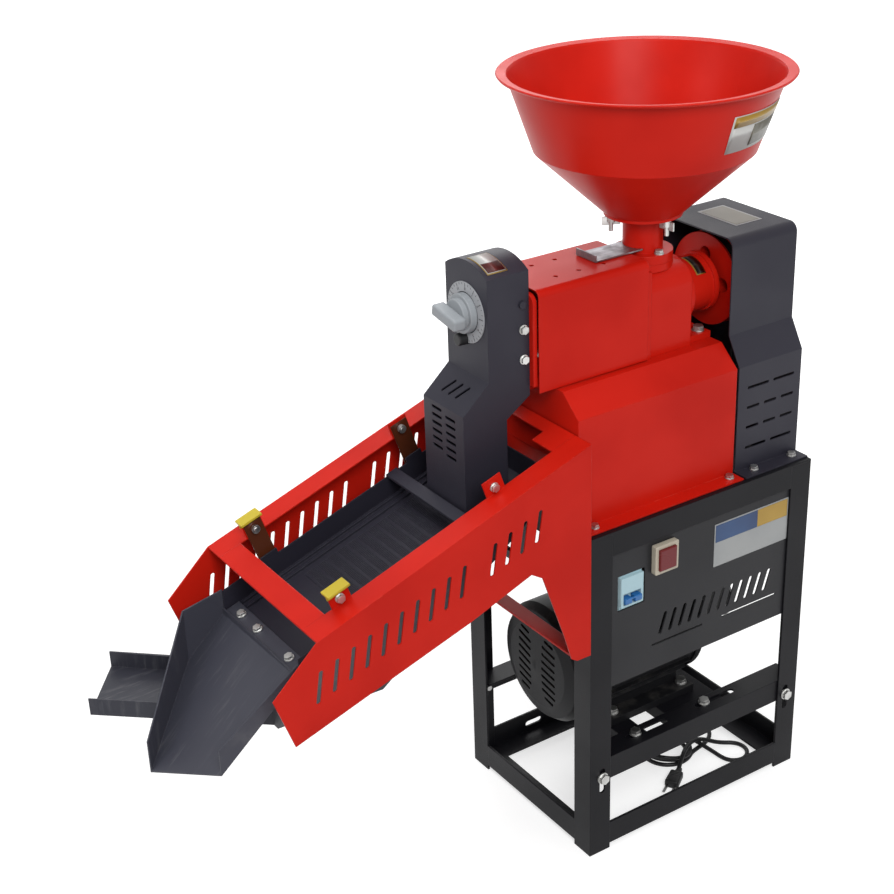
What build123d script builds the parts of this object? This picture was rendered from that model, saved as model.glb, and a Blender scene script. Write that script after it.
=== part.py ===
from build123d import *
import math
import os

os.makedirs("parts", exist_ok=True)

# Rice huller with a shaking sieve, on a motor stand. Millimetres, +Z up.
# All sizes are first given from the outer bottom corner of the near left leg:
# +X to the right along the switch panel, +Y to the back, +Z up from the floor.
# At the end everything moves so that the origin is the middle of the footprint on the floor.

# Stand of angle section
STAND_W = 380.0
STAND_D = 280.0
STAND_H = 500.0
ANGLE = 35.0
ANGLE_T = 3.0
FOOT_RISE = 8.0
PANEL_T = 2.0
PANEL_BOTTOM = 265.0
PANEL_LIP = 30.0
SEAT_GAP = 0.3
SLIP = 0.1

# Motor and its rails
MOTOR_RAIL_Z = 116.0
SLOT_W = 9.0
RAIL_SLOT_Z = (100.0, 140.0)
CROSS_NEAR_X = (82.0, 117.0)
CROSS_FAR_X = (165.0, 257.0)
CROSS_T = 4.0
MOTOR_Y = 136.0
MOTOR_SHAFT_HEIGHT = 90.0
MOTOR_BODY_R = 78.0
MOTOR_COVER_R = 88.0
MOTOR_X0 = 10.0
MOTOR_X1 = 258.0
MOTOR_COVER_L = 56.0
MOTOR_FOOT_PITCH = 125.0
MOTOR_FOOT_Y = 62.0
MOTOR_SHAFT_R = 12.0
TERMINAL_BOX = (72.0, 38.0, 60.0)
TERMINAL_BOX_X = 168.0
ROTOR_R = 46.0
ROTOR_X = (86.0, 216.0)

# Drive line
SHAFT_Y = 128.0
SHAFT_Z = 745.0
SHAFT_R = 12.5
PULLEY_X0 = 290.0
GROOVE_PITCH = 18.0
GROOVES = 2
PULLEY_R = 63.0
MOTOR_PULLEY_R = 36.0
BELT_DEPTH = 9.0

# Shaker drive under the stand top
SHAKER_Y = 216.0
SHAKER_Z = 430.0
SHAKER_R = 8.0
SHAKER_PULLEY_R = 34.0
ECCENTRIC = 3.0
ECCENTRIC_R = 13.0
SWING = 3.0

# Belt guard
GUARD_X0 = 268.0
GUARD_T = 2.0
GUARD_LOW_Y = (30.0, 226.0)
GUARD_HIGH_Y = (52.0, 204.0)
GUARD_BEND_Z = (653.0, 692.0)
GUARD_TOP = 823.0
GUARD_CORNER = 13.0

# Bran hood on the stand top
HOOD_X = (2.5, 264.0)
HOOD_T = 2.0
HOOD_Y = (30.0, 226.0)
HOOD_BEVEL_IN = 32.0
HOOD_BEVEL_Z = 653.0
HOOD_TOP = 681.5
FLANGE_W = 22.0

# Milling chamber
COVER_X = (-25.0, 147.0)
COVER_Y = (72.0, 184.0)
COVER_Z = (683.0, 816.0)
COVER_T = 1.5
COVER_BEND = 9.0
VENT_D = 6.0
ROLLER_R = 29.0
SCREEN_R = 36.0
SCREEN_T = 1.5
CHAMBER_FLANGE_T = 6.0

# Feed housing and bearing
HOUSING_X = (147.0, 232.0)
HOUSING_TOP = 800.0
BEARING_R = 37.0
BEARING_X1 = 283.0

# Hopper, neck and feed gate
HOPPER_X = 182.0
RIM_R = 184.5
RIM_LIP = 13.0
RIM_Z = 1042.6
BREAK_R = 140.0
BREAK_Z = 945.0
BASE_R = 52.5
BASE_Z = 864.0
HOPPER_T = 1.5
NECK_R = 26.0
NECK_T = 3.0
NECK_FLANGE_R = 39.0
GATE_Z = 817.0
GATE_T = 2.0
GATE_W = 40.0
GATE_TRAVEL = 48.0

# Outlet head
HEAD_Y = (84.0, 172.0)
HEAD_X = (-92.0, -31.0)
HEAD_DROP_X = (-131.0, -66.5)
HEAD_T = 2.0
HEAD_SIDE_TOP = 842.0
HEAD_ARCH = 14.0
HEAD_FRONT_BEND_Z = (711.0, 676.0)
HEAD_BACK_BEND_Z = (679.0, 655.0)
DIAL_Z = 790.0
DIAL_R = 38.5
KNOB_R = 25.0
KNOB_GRIP = (70.0, 16.0, 18.0)
KNOB_TILT = 10.0
FLAP_PIN_Z = 800.0
FLAP_PIN_R = 3.0

# Sieve frame and sieve: heights on the slope are z0 + SLOPE * x
SLOPE = 0.339
SIDE_T = 2.0
SIDE_TOP_Z0 = 634.0
SIDE_FLANGE = 34.0
SIDE_TIP = (-457.0, 443.0)
SIDE_CREST_X = -395.0
TRAY_Y = (42.0, 238.0)
TRAY_X = (-400.0, -24.0)
TRAY_TOP_Z0 = 593.0
TRAY_FLOOR_Z0 = 563.0
TRAY_T = 1.5
BRIDGE_X = -144.6
STRIP_TOP_Z0 = 643.5
STRIP_LENGTH = 50.0
STRIP_X = (-345.0, -124.0)
STRIP_W = 25.0
STRIP_T = 1.5
PAN_Z = 314.0
PAN_T = 2.0

# Switches in the panel
BREAKER_X = (49.0, 88.0)
BREAKER_Z = (381.0, 425.0)
BUTTON_X = (102.0, 141.0)
BUTTON_Z = (415.0, 457.0)

# Bolts, holes and small distances of the stand
PANEL_BACK_Y = ANGLE_T + PANEL_T
RAIL_BOLT_X = 0.6 * ANGLE
TOP_BOLT_Y = (21.0, STAND_D - 25.0)
HOOD_BOLT_X = (22.0, 250.0)
GUARD_BOLT_X = (294.0, 363.0)
FOOT_BOLT_X = 252.0
FRAME_BOLT_Y = 18.0
FRAME_BOLT_Z = (350.0, 450.0)

# Motor seat
RAIL_BOLT_Z = 125.0
CROSS_BOLT_Y = 24.0
MOTOR_FOOT_X = (98.0, 98.0 + MOTOR_FOOT_PITCH)
CROSS_BOLT_X = MOTOR_FOOT_X
CROSS_TOP = MOTOR_RAIL_Z + ANGLE - ANGLE_T
MOTOR_Z = CROSS_TOP + MOTOR_SHAFT_HEIGHT

# V-belt section in its groove
BELT_SINK = 0.8
BELT_FLOOR = 1.0
GROOVE_TOP = GROOVE_PITCH / 2 - 3.0
GROOVE_BASE = GROOVE_PITCH / 2 - 6.5
BELT_CLEAR = 0.25

# Feed side
BEARING_BORE = 26.0
WING_ANGLES = (35.0, 155.0, 275.0)
WING_R = 42.0
NECK_BOLT_OUT = 32.5
GATE_X0 = 90.0
GATE_X1 = HOPPER_X + NECK_R - NECK_T - 1

# Outlet head
HEAD_BOTTOM_Z0 = 578.0
SPINDLE_R = 5.0
HEAD_BOLT_X = -40.0
HEAD_BOLT_Z = (768.0, 729.0)
FLAP_PIN_X = HEAD_X[1] - 10.0

# Sieve tabs, screen window and chute bolts
TAB_TOP = 13.0
SCREEN_X = (-300.0, -40.0)
SCREEN_Y = (60.0, 205.0)
CHUTE_BOLT_Y = (208.0, 165.0, 85.0)
CHUTE_BOLT_IN = 10.0
LAP_TOP_Z0 = TRAY_FLOOR_Z0 + 0.1 + PAN_T / math.cos(math.atan(SLOPE))

# Cord, in stand coordinates: its route is chosen by hand
CORD_D = 6.5
CORD_ROUTE = [
    (254.0, 232.0, 225.0),
    (274.0, 232.0, 225.0),
    (291.0, 231.8, 215.0),
    (301.0, 231.2, 198.0),
    (302.0, 230.0, 168.0),
    (301.0, 228.0, 128.0),
    (300.0, 224.0, 88.0),
    (301.0, 216.0, 52.0),
    (304.5, 204.5, 27.0),
    (311.0, 190.0, 9.5),
    (322.0, 172.0, 3.4),
    (331.0, 150.0, 3.3),
    (331.0, 134.0, 3.3),
    (325.6, 120.0, 3.3),
    (315.6, 108.9, 3.3),
    (302.2, 102.1, 3.3),
    (284.3, 100.2, 3.3),
]
COIL = (240.0, 122.0)
COIL_R = (27.5, 41.0)
COIL_HIGH = 13.2
LOOP_TIP = (321.5, 57.5)
LOOP_TIP_R = 22.5
LOOP_ROOT = (278.0, 93.0)
LOOP_ROOT_R = 6.5
TIE = (268.0, 99.0)
PLUG_BACK = (215.0, 65.6)
PLUG_TURN = 212.2
PLUG_SIZE = (32.0, 22.0, 14.0)


def block(x0, x1, y0, y1, z0, z1):
    size = Box(x1 - x0, y1 - y0, z1 - z0)
    return Pos((x0 + x1) / 2, (y0 + y1) / 2, (z0 + z1) / 2) * size


def rod(start, end, radius):
    a = Vector(*start)
    b = Vector(*end)
    plane = Plane(origin=a, z_dir=(b - a).normalized())
    return extrude(plane * Circle(radius), amount=(b - a).length)


def tube(start, end, outer, inner):
    a = Vector(*start)
    b = Vector(*end)
    plane = Plane(origin=a, z_dir=(b - a).normalized())
    ring = plane * (Circle(outer) - Circle(inner))
    return extrude(ring, amount=(b - a).length)


def profile_xz(points, y0, y1):
    face = make_face(Polyline([(x, y0, z) for x, z in points], close=True))
    return extrude(face, amount=y1 - y0, dir=(0, 1, 0))


def profile_yz(points, x0, x1):
    face = make_face(Polyline([(x0, y, z) for y, z in points], close=True))
    return extrude(face, amount=x1 - x0, dir=(1, 0, 0))


def profile_xy(points, z0, z1):
    face = make_face(Polyline([(x, y, z0) for x, y in points], close=True))
    return extrude(face, amount=z1 - z0, dir=(0, 0, 1))


def slope_z(x, z0):
    return z0 + SLOPE * x


def slope_sheet(x0, x1, y0, y1, z0, thickness):
    """A sheet that lies on the slope, with its top face on z0 + SLOPE * x."""
    drop = thickness / math.cos(math.atan(SLOPE))
    points = [
        (x0, slope_z(x0, z0)),
        (x1, slope_z(x1, z0)),
        (x1, slope_z(x1, z0) - drop),
        (x0, slope_z(x0, z0) - drop),
    ]
    return profile_xz(points, y0, y1)


def hex_bolt(seat, direction, size, length):
    """Hexagon head with its washer on the seat; the shank points along direction."""
    plane = Plane(origin=seat, z_dir=direction)
    washer_t = 0.25 * size
    head_t = 0.65 * size
    shank = extrude(plane * Circle(size / 2), amount=length)
    washer = extrude(plane * Circle(1.05 * size), amount=-washer_t)
    top = plane.offset(-washer_t)
    head = extrude(top * RegularPolygon(0.92 * size, 6), amount=-head_t)
    return shank + washer + head


def slot_xz(x, z, length, width, y0, y1, turn=0.0):
    plane = Plane(origin=(x, y0, z), x_dir=(1, 0, 0), z_dir=(0, -1, 0))
    shape = plane * Rot(0, 0, turn) * SlotOverall(length, width)
    return extrude(shape, amount=-(y1 - y0))


def slot_yz(y, z, length, width, x0, x1, turn=0.0):
    plane = Plane(origin=(x0, y, z), x_dir=(0, 1, 0), z_dir=(1, 0, 0))
    shape = plane * Rot(0, 0, turn) * SlotOverall(length, width)
    return extrude(shape, amount=x1 - x0)


# Stand

def stand_legs():
    legs = []
    top = STAND_H - ANGLE_T
    slot_z = sum(RAIL_SLOT_Z) / 2
    slot_length = RAIL_SLOT_Z[1] - RAIL_SLOT_Z[0]
    for side in (0, 1):
        for back in (0, 1):
            leg = block(0, ANGLE, 0, ANGLE_T, 0, top) + block(0, ANGLE_T, 0, ANGLE, 0, top)
            leg -= slot_xz(RAIL_BOLT_X, slot_z, slot_length, SLOT_W, -1, ANGLE_T + 1, 90)
            for z in FRAME_BOLT_Z:
                if not side:
                    leg -= rod((-1, FRAME_BOLT_Y, z), (ANGLE_T + 1, FRAME_BOLT_Y, z), 3.3)
            if side:
                leg = Pos(STAND_W, 0, 0) * mirror(leg, Plane.YZ)
            if back:
                leg = Pos(0, STAND_D, 0) * mirror(leg, Plane.XZ)
            legs.append(leg)
    return Compound(children=legs)


def angle_ring(z_flange, flange_up):
    """Four angle rails welded into a ring between the legs, flange inwards."""
    z_wall = (z_flange, z_flange + ANGLE) if flange_up else (z_flange + ANGLE_T - ANGLE, z_flange + ANGLE_T)
    inner = ANGLE
    ring = block(ANGLE_T, STAND_W - ANGLE_T, ANGLE_T, STAND_D - ANGLE_T, z_flange, z_flange + ANGLE_T)
    ring -= block(inner, STAND_W - inner, inner, STAND_D - inner, z_flange - 1, z_flange + ANGLE_T + 1)
    for y in (0, STAND_D - ANGLE_T):
        ring += block(ANGLE, STAND_W - ANGLE, y, y + ANGLE_T, *z_wall)
    for x in (0, STAND_W - ANGLE_T):
        ring += block(x, x + ANGLE_T, ANGLE, STAND_D - ANGLE, *z_wall)
    return ring


def stand_bottom_frame():
    ring = angle_ring(FOOT_RISE, True)
    slot_z = FOOT_RISE + 0.45 * ANGLE
    for x in (108.0, STAND_W - 108.0):
        ring -= slot_xz(x, slot_z, 30.0, 9.0, STAND_D - ANGLE_T - 1, STAND_D + 1)
    return ring


def stand_top_frame():
    z = STAND_H - ANGLE_T
    ring = angle_ring(z, False)
    ring += block(0, STAND_W, 0, STAND_D, z, STAND_H) - block(
        ANGLE, STAND_W - ANGLE, ANGLE, STAND_D - ANGLE, z - 1, STAND_H + 1)
    ring -= block(-1, ANGLE_T, PANEL_BACK_Y, ANGLE, STAND_H - ANGLE, z)
    for x in HOOD_BOLT_X + GUARD_BOLT_X:
        for y in TOP_BOLT_Y:
            ring -= rod((x, y, z - 1), (x, y, STAND_H + 1), 3.3)
    return ring


def front_panel():
    x0 = ANGLE_T + SEAT_GAP
    x1 = STAND_W - x0
    top = STAND_H - ANGLE_T
    panel = block(x0, x1, ANGLE_T, PANEL_BACK_Y, PANEL_BOTTOM, top)
    panel += block(x0, x1, ANGLE_T, PANEL_BACK_Y + PANEL_LIP, PANEL_BOTTOM, PANEL_BOTTOM + PANEL_T)
    panel -= block(BREAKER_X[0] - 3, BREAKER_X[1] + 3, 0, 9, BREAKER_Z[0] - 4, BREAKER_Z[1] + 4)
    panel -= block(BUTTON_X[0] + 4, BUTTON_X[1] - 4, 0, 9, BUTTON_Z[0] + 4, BUTTON_Z[1] - 4)
    slots = 12
    pitch = 17.0
    for i in range(slots):
        x = 124.0 + pitch * i
        panel -= slot_xz(x, 332.0, 34.0, 6.0, 0, 9, 72)
    for x, length in ((150.0, 90.0), (280.0, 100.0)):
        panel -= slot_xz(x, 303.0, length, 3.0, 0, 9)
    return panel


# Motor rails and motor

def motor_rails():
    z1 = MOTOR_RAIL_Z + ANGLE
    x0 = ANGLE_T + 1
    x1 = STAND_W - x0
    rail = block(x0, x1, ANGLE_T, 2 * ANGLE_T, MOTOR_RAIL_Z, z1)
    rail += block(x0, x1, ANGLE_T, ANGLE_T + ANGLE, z1 - ANGLE_T, z1)
    for x in CROSS_BOLT_X:
        plane = Plane.XY.offset(z1 - ANGLE_T - 1)
        hole = plane * Pos(x + 20, CROSS_BOLT_Y, 0) * SlotOverall(72, SLOT_W)
        rail -= extrude(hole, amount=ANGLE_T + 2)
    for x in (RAIL_BOLT_X, STAND_W - RAIL_BOLT_X):
        rail -= rod((x, 0, RAIL_BOLT_Z), (x, 9, RAIL_BOLT_Z), 4.3)
    back = Pos(0, STAND_D, 0) * mirror(rail, Plane.XZ)
    return Compound(children=[rail, back])


def motor_cross_rails():
    y0 = 2 * ANGLE_T + 1
    y1 = STAND_D - y0
    rails = []
    for (x0, x1), bolt_x in zip((CROSS_NEAR_X, CROSS_FAR_X), CROSS_BOLT_X):
        rail = block(x0, x1, y0, y1, CROSS_TOP - CROSS_T, CROSS_TOP)
        rail += block(x0, x0 + CROSS_T, y0, y1, CROSS_TOP - 20, CROSS_TOP)
        rail += block(x1 - CROSS_T, x1, y0, y1, CROSS_TOP - 20, CROSS_TOP)
        for y in (CROSS_BOLT_Y, STAND_D - CROSS_BOLT_Y):
            rail -= rod((bolt_x, y, CROSS_TOP - 9), (bolt_x, y, CROSS_TOP + 1), 4.3)
        for y in (MOTOR_Y - MOTOR_FOOT_Y, MOTOR_Y + MOTOR_FOOT_Y):
            rail -= rod((bolt_x, y, CROSS_TOP - 9), (bolt_x, y, CROSS_TOP + 1), 4.3)
        rails.append(rail)
    return Compound(children=rails)


def motor_body():
    x0 = MOTOR_X0 + MOTOR_COVER_L
    x1 = MOTOR_X1 - 22
    body = rod((x0, MOTOR_Y, MOTOR_Z), (x1, MOTOR_Y, MOTOR_Z), MOTOR_BODY_R)
    fins = 28
    for i in range(fins):
        angle = 360.0 / fins * i
        if 225 <= angle <= 315:
            continue
        fin = block(x0 + 8, x1 - 8, -1.2, 1.2, MOTOR_BODY_R - 2, MOTOR_BODY_R + 6)
        body += Pos(0, MOTOR_Y, MOTOR_Z) * Rot(angle - 90, 0, 0) * fin
    for side in (-1, 1):
        foot_y = MOTOR_Y + side * MOTOR_FOOT_Y
        foot = block(MOTOR_FOOT_X[0] - 15, MOTOR_FOOT_X[1] + 12, foot_y - 14, foot_y + 14, CROSS_TOP, CROSS_TOP + 11)
        riser_y = MOTOR_Y + side * 45
        riser = block(MOTOR_FOOT_X[0], MOTOR_FOOT_X[1], riser_y - 6, riser_y + 6, CROSS_TOP, CROSS_TOP + 40)
        body += foot + riser
        for x in MOTOR_FOOT_X:
            body -= rod((x, foot_y, CROSS_TOP - 1), (x, foot_y, CROSS_TOP + 12), 4.3)
    stator0 = ROTOR_X[0] - 2
    stator1 = ROTOR_X[1] + 2
    for a, b, radius in (
            (x0 - 1, stator0, MOTOR_BODY_R - 8), (stator0 - 1, stator1 + 1, ROTOR_R + 1),
            (stator1, x1 + 1, MOTOR_BODY_R - 8)):
        body -= rod((a, MOTOR_Y, MOTOR_Z), (b, MOTOR_Y, MOTOR_Z), radius)
    return body


def motor_end_shields():
    """Drive end shield with its bearing seat, and the fan end shield behind the fan."""
    bore = MOTOR_SHAFT_R + 9.0
    x1 = MOTOR_X1 - 22
    drive = rod((x1, MOTOR_Y, MOTOR_Z), (x1 + 10, MOTOR_Y, MOTOR_Z), MOTOR_BODY_R + 3)
    drive += rod((x1 + 10, MOTOR_Y, MOTOR_Z), (MOTOR_X1, MOTOR_Y, MOTOR_Z), 34)
    x0 = MOTOR_X0 + MOTOR_COVER_L
    back = rod((x0 - 10, MOTOR_Y, MOTOR_Z), (x0, MOTOR_Y, MOTOR_Z), MOTOR_COVER_R - 2.0 - SLIP)
    drive -= rod((x1 - 1, MOTOR_Y, MOTOR_Z), (MOTOR_X1 + 1, MOTOR_Y, MOTOR_Z), bore)
    back -= rod((x0 - 11, MOTOR_Y, MOTOR_Z), (x0 + 1, MOTOR_Y, MOTOR_Z), bore)
    return Compound(children=[drive, back])


def motor_bearings():
    outer = MOTOR_SHAFT_R + 9.0
    rings = []
    for x0 in (MOTOR_X0 + MOTOR_COVER_L - 10, MOTOR_X1 - 14):
        rings.append(tube((x0, MOTOR_Y, MOTOR_Z), (x0 + 10, MOTOR_Y, MOTOR_Z), outer, MOTOR_SHAFT_R + 0.05))
    return Compound(children=rings)


def motor_fan_cover():
    """Domed sheet cover with two groups of short slanted slots in its face."""
    depth = MOTOR_COVER_L + 6
    t = 2.0
    outer_profile = [(0, 0), (62, 3), (80, 9), (MOTOR_COVER_R, 20), (MOTOR_COVER_R, depth), (0, depth)]
    inner_profile = [
        (0, t), (62 - t / 2, 3 + t), (80 - t, 9 + t), (MOTOR_COVER_R - t, 20 + t / 2),
        (MOTOR_COVER_R - t, depth + 1), (0, depth + 1)]
    shells = []
    for points in (outer_profile, inner_profile):
        face = make_face(Polyline([(r, 0, x) for r, x in points], close=True))
        shells.append(revolve(face, Axis.Z))
    cover = shells[0] - shells[1]
    rows = 9
    for side in (-1, 1):
        for i in range(rows):
            v = (i - (rows - 1) / 2) * 11.5
            reach = 30.0 if abs(v) < 40 else 20.0
            centre = side * 27.0
            if math.hypot(centre, v) > 60:
                continue
            plane = Plane.XY.offset(-1)
            hole = plane * Pos(v, centre, 0) * Rot(0, 0, 90 + 12) * SlotOverall(reach, 4.5)
            cover -= extrude(hole, amount=9)
    place = Location((MOTOR_X0, MOTOR_Y, MOTOR_Z), (0, 90, 0))
    return place * cover


def motor_fan():
    x0 = MOTOR_X0 + 22
    fan = rod((x0 + 14, MOTOR_Y, MOTOR_Z), (x0 + 17, MOTOR_Y, MOTOR_Z), 66)
    fan += rod((x0, MOTOR_Y, MOTOR_Z), (x0 + 17, MOTOR_Y, MOTOR_Z), 24)
    blades = 8
    for i in range(blades):
        blade = block(x0, x0 + 15, -1.2, 1.2, 20, 70)
        fan += Pos(0, MOTOR_Y, MOTOR_Z) * Rot(360.0 / blades * i, 0, 0) * blade
    bore = rod((x0 - 1, MOTOR_Y, MOTOR_Z), (x0 + 18, MOTOR_Y, MOTOR_Z), MOTOR_SHAFT_R)
    return fan - bore


def motor_shaft():
    x1 = PULLEY_X0 + (GROOVES + 1) * GROOVE_PITCH
    return rod((MOTOR_X0 + 22, MOTOR_Y, MOTOR_Z), (x1, MOTOR_Y, MOTOR_Z), MOTOR_SHAFT_R)


def motor_rotor():
    x0, x1 = ROTOR_X
    return tube((x0, MOTOR_Y, MOTOR_Z), (x1, MOTOR_Y, MOTOR_Z), ROTOR_R, MOTOR_SHAFT_R)


def terminal_box():
    width, depth, height = TERMINAL_BOX
    x0 = TERMINAL_BOX_X
    y0 = MOTOR_Y + MOTOR_BODY_R - 3
    z0 = MOTOR_Z - 30
    box = block(x0, x0 + width, y0, y0 + depth, z0, z0 + height)
    box = fillet(box.edges().filter_by(Axis.X), 5)
    box -= rod((x0 - 1, MOTOR_Y, MOTOR_Z), (x0 + width + 1, MOTOR_Y, MOTOR_Z), MOTOR_BODY_R + 6.3)
    return box


def cord_gland():
    """Tapered strain relief in the side of the terminal box."""
    x0 = TERMINAL_BOX_X + TERMINAL_BOX[0]
    x1 = CORD_ROUTE[0][0] + 12
    y = CORD_ROUTE[0][1]
    z = CORD_ROUTE[0][2]
    nut_x = x0 + 6
    plane = Plane(origin=(x0, y, z), z_dir=(1, 0, 0))
    nut = extrude(plane * RegularPolygon(10, 6), amount=nut_x - x0)
    sleeve = Plane(origin=(nut_x, y, z), z_dir=(1, 0, 0))
    tip = Plane(origin=(CORD_ROUTE[0][0], y, z), z_dir=(1, 0, 0))
    cone = loft([sleeve * Circle(7.5), tip * Circle(CORD_D / 2 + 1.2)])
    return nut + cone


# Pulleys and belts

def pulley(axis_y, axis_z, x0, grooves, radius, bore, holes):
    """Grooved pulley on an axis along X: radius is at the rim, the grooves are V shaped."""
    width = grooves * GROOVE_PITCH
    points = [(bore, 0), (radius, 0)]
    for i in range(grooves):
        base = GROOVE_PITCH * i
        points.append((radius, base + 3))
        points.append((radius - BELT_DEPTH, base + 6.5))
        points.append((radius - BELT_DEPTH, base + GROOVE_PITCH - 6.5))
        points.append((radius, base + GROOVE_PITCH - 3))
    points += [(radius, width), (bore, width)]
    face = make_face(Polyline([(r, 0, x) for r, x in points], close=True))
    wheel = revolve(face, Axis.Z)
    for i in range(holes):
        angle = 2 * math.pi * i / holes
        r = 0.56 * radius
        wheel -= Pos(r * math.cos(angle), r * math.sin(angle), width / 2) * Cylinder(0.15 * radius, width + 2)
    return Location((x0, axis_y, axis_z), (0, 90, 0)) * wheel


def belt_loop(x, c1, r1, c2, r2):
    """V belt round two pulleys: its section runs round a path of two lines and two arcs."""
    a = Vector(x, c1[0], c1[1])
    b = Vector(x, c2[0], c2[1])
    depth = BELT_DEPTH / 2
    ra = r1 - depth
    rb = r2 - depth
    gap = (b - a).length
    lean = math.acos((ra - rb) / gap)
    base = math.atan2(b.Z - a.Z, b.Y - a.Y)
    sides = []
    for sign in (1, -1):
        unit = Vector(0, math.cos(base + sign * lean), math.sin(base + sign * lean))
        sides.append((a + unit * ra, b + unit * rb, unit))
    along = Vector(0, math.cos(base), math.sin(base))
    (a1, b1, out), (a2, b2, _) = sides
    path = Wire([
        Edge.make_line(a1, b1), Edge.make_three_point_arc(b1, b + along * rb, b2),
        Edge.make_line(b2, a2), Edge.make_three_point_arc(a2, a - along * ra, a1)])
    plane = Plane(origin=a1, x_dir=(1, 0, 0), z_dir=(b1 - a1).normalized())
    side = 1 if plane.y_dir.dot(out) > 0 else -1
    top = side * (depth - BELT_SINK)
    low = -side * (depth - BELT_FLOOR)
    wide = belt_half_width(BELT_SINK)
    narrow = belt_half_width(BELT_DEPTH - BELT_FLOOR)
    section = plane * make_face(Polyline((-wide, top), (wide, top), (narrow, low), (-narrow, low), close=True))
    return sweep(section, path=path)


def belt_half_width(depth):
    return GROOVE_TOP - (GROOVE_TOP - GROOVE_BASE) * depth / BELT_DEPTH - BELT_CLEAR


def groove_centre(i):
    return PULLEY_X0 + GROOVE_PITCH * (i + 0.5)


def drive_belts():
    belts = []
    for i in range(GROOVES):
        x = groove_centre(i)
        belts.append(belt_loop(x, (SHAFT_Y, SHAFT_Z), PULLEY_R, (MOTOR_Y, MOTOR_Z), MOTOR_PULLEY_R))
    return Compound(children=belts)


def shaker_belt():
    x = groove_centre(GROOVES)
    return belt_loop(x, (SHAKER_Y, SHAKER_Z), SHAKER_PULLEY_R, (MOTOR_Y, MOTOR_Z), MOTOR_PULLEY_R)


def main_pulley():
    return pulley(SHAFT_Y, SHAFT_Z, PULLEY_X0, GROOVES, PULLEY_R, SHAFT_R, 4)


def motor_pulley():
    return pulley(MOTOR_Y, MOTOR_Z, PULLEY_X0, GROOVES + 1, MOTOR_PULLEY_R, MOTOR_SHAFT_R, 0)


def shaker_pulley():
    x0 = PULLEY_X0 + GROOVES * GROOVE_PITCH
    return pulley(SHAKER_Y, SHAKER_Z, x0, 1, SHAKER_PULLEY_R, SHAKER_R, 0)


def belt_guard():
    """Sheet guard, open towards the mill, with rows of short slots low on its front."""
    x1 = STAND_W
    low0, low1 = GUARD_LOW_Y
    high0, high1 = GUARD_HIGH_Y
    bend0, bend1 = GUARD_BEND_Z

    def outline(inset, bottom, corner):
        points = [
            (low0 + inset, bottom), (low1 - inset, bottom), (low1 - inset, bend0),
            (high1 - inset, bend1), (high1 - inset, GUARD_TOP - inset),
            (high0 + inset, GUARD_TOP - inset), (high0 + inset, bend1), (low0 + inset, bend0)]
        return points, corner

    shells = []
    for inset, x_start, x_end, bottom in (
            (0.0, GUARD_X0, x1, STAND_H), (GUARD_T, GUARD_X0 - 1, x1 - GUARD_T, STAND_H - 1)):
        points, corner = outline(inset, bottom, GUARD_CORNER)
        solid = profile_yz(points, x_start, x_end)
        edges = solid.edges().filter_by(Axis.X).group_by(Axis.Z)[-1]
        shells.append(fillet(edges, GUARD_CORNER - inset))
    guard = shells[0] - shells[1]
    for y0, y1 in ((low0 - FLANGE_W - 1, low0 + 1), (low1 - 1, low1 + FLANGE_W + 1)):
        guard += block(GUARD_X0, x1, y0, y1, STAND_H, STAND_H + GUARD_T)
    rows = ((621.0, 2), (592.0, 3), (563.0, 3), (533.0, 2))
    span = (284.0, 368.0)
    gap = 8.0
    for z, count in rows:
        length = (span[1] - span[0] - gap * (count - 1)) / count
        for i in range(count):
            x = span[0] + length / 2 + (length + gap) * i
            guard -= slot_xz(x, z, length, 4.0, low0 - 1, low0 + GUARD_T + 1)
    for x in GUARD_BOLT_X:
        for y in TOP_BOLT_Y:
            guard -= rod((x, y, STAND_H - 1), (x, y, STAND_H + 5), 3.3)
    return guard


def bran_hood():
    """Bent sheet hood under the milling chamber, closed at both ends, open below."""
    x0, x1 = HOOD_X
    y0, y1 = HOOD_Y

    def outline(t, bottom):
        return [
            (y0 + t, bottom), (y1 - t, bottom), (y1 - t, HOOD_BEVEL_Z), (y1 - HOOD_BEVEL_IN - t / 2, HOOD_TOP - t),
            (y0 + HOOD_BEVEL_IN + t / 2, HOOD_TOP - t), (y0 + t, HOOD_BEVEL_Z)]

    hood = profile_yz(outline(0, STAND_H), x0, x1)
    hood -= profile_yz(outline(HOOD_T, STAND_H - 1), x0 + HOOD_T, x1 - HOOD_T)
    for flange_y0, flange_y1 in ((y0 - FLANGE_W, y0 + 1), (y1 - 1, y1 + FLANGE_W)):
        hood += block(x0, x1, flange_y0, flange_y1, STAND_H, STAND_H + HOOD_T)
    hood -= block(COVER_X[0] + 40, COVER_X[1] - 12, SHAFT_Y - 33, SHAFT_Y + 33, HOOD_TOP - 5, HOOD_TOP + 5)
    for x in HOOD_BOLT_X:
        for y in TOP_BOLT_Y:
            hood -= rod((x, y, STAND_H - 1), (x, y, STAND_H + 5), 3.3)
    return hood


# Milling chamber

def mill_cover():
    """Sheet cover bent over the chamber, with two rows of vent holes in its top."""
    x0, x1 = COVER_X
    y0, y1 = COVER_Y
    z0, z1 = COVER_Z
    outer = block(x0, x1 - SEAT_GAP, y0, y1, z0, z1)
    outer = fillet(outer.edges().filter_by(Axis.X).group_by(Axis.Z)[-1], COVER_BEND)
    inner = block(x0 - 1, x1 + 1, y0 + COVER_T, y1 - COVER_T, z0 - 1, z1 - COVER_T)
    inner = fillet(inner.edges().filter_by(Axis.X).group_by(Axis.Z)[-1], COVER_BEND - COVER_T)
    cover = outer - inner
    for x in (24.0, 60.0, 98.0):
        for y in (SHAFT_Y - 25, SHAFT_Y + 25):
            cover -= rod((x, y, z1 - 9), (x, y, z1 + 1), VENT_D / 2)
    return cover


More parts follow.
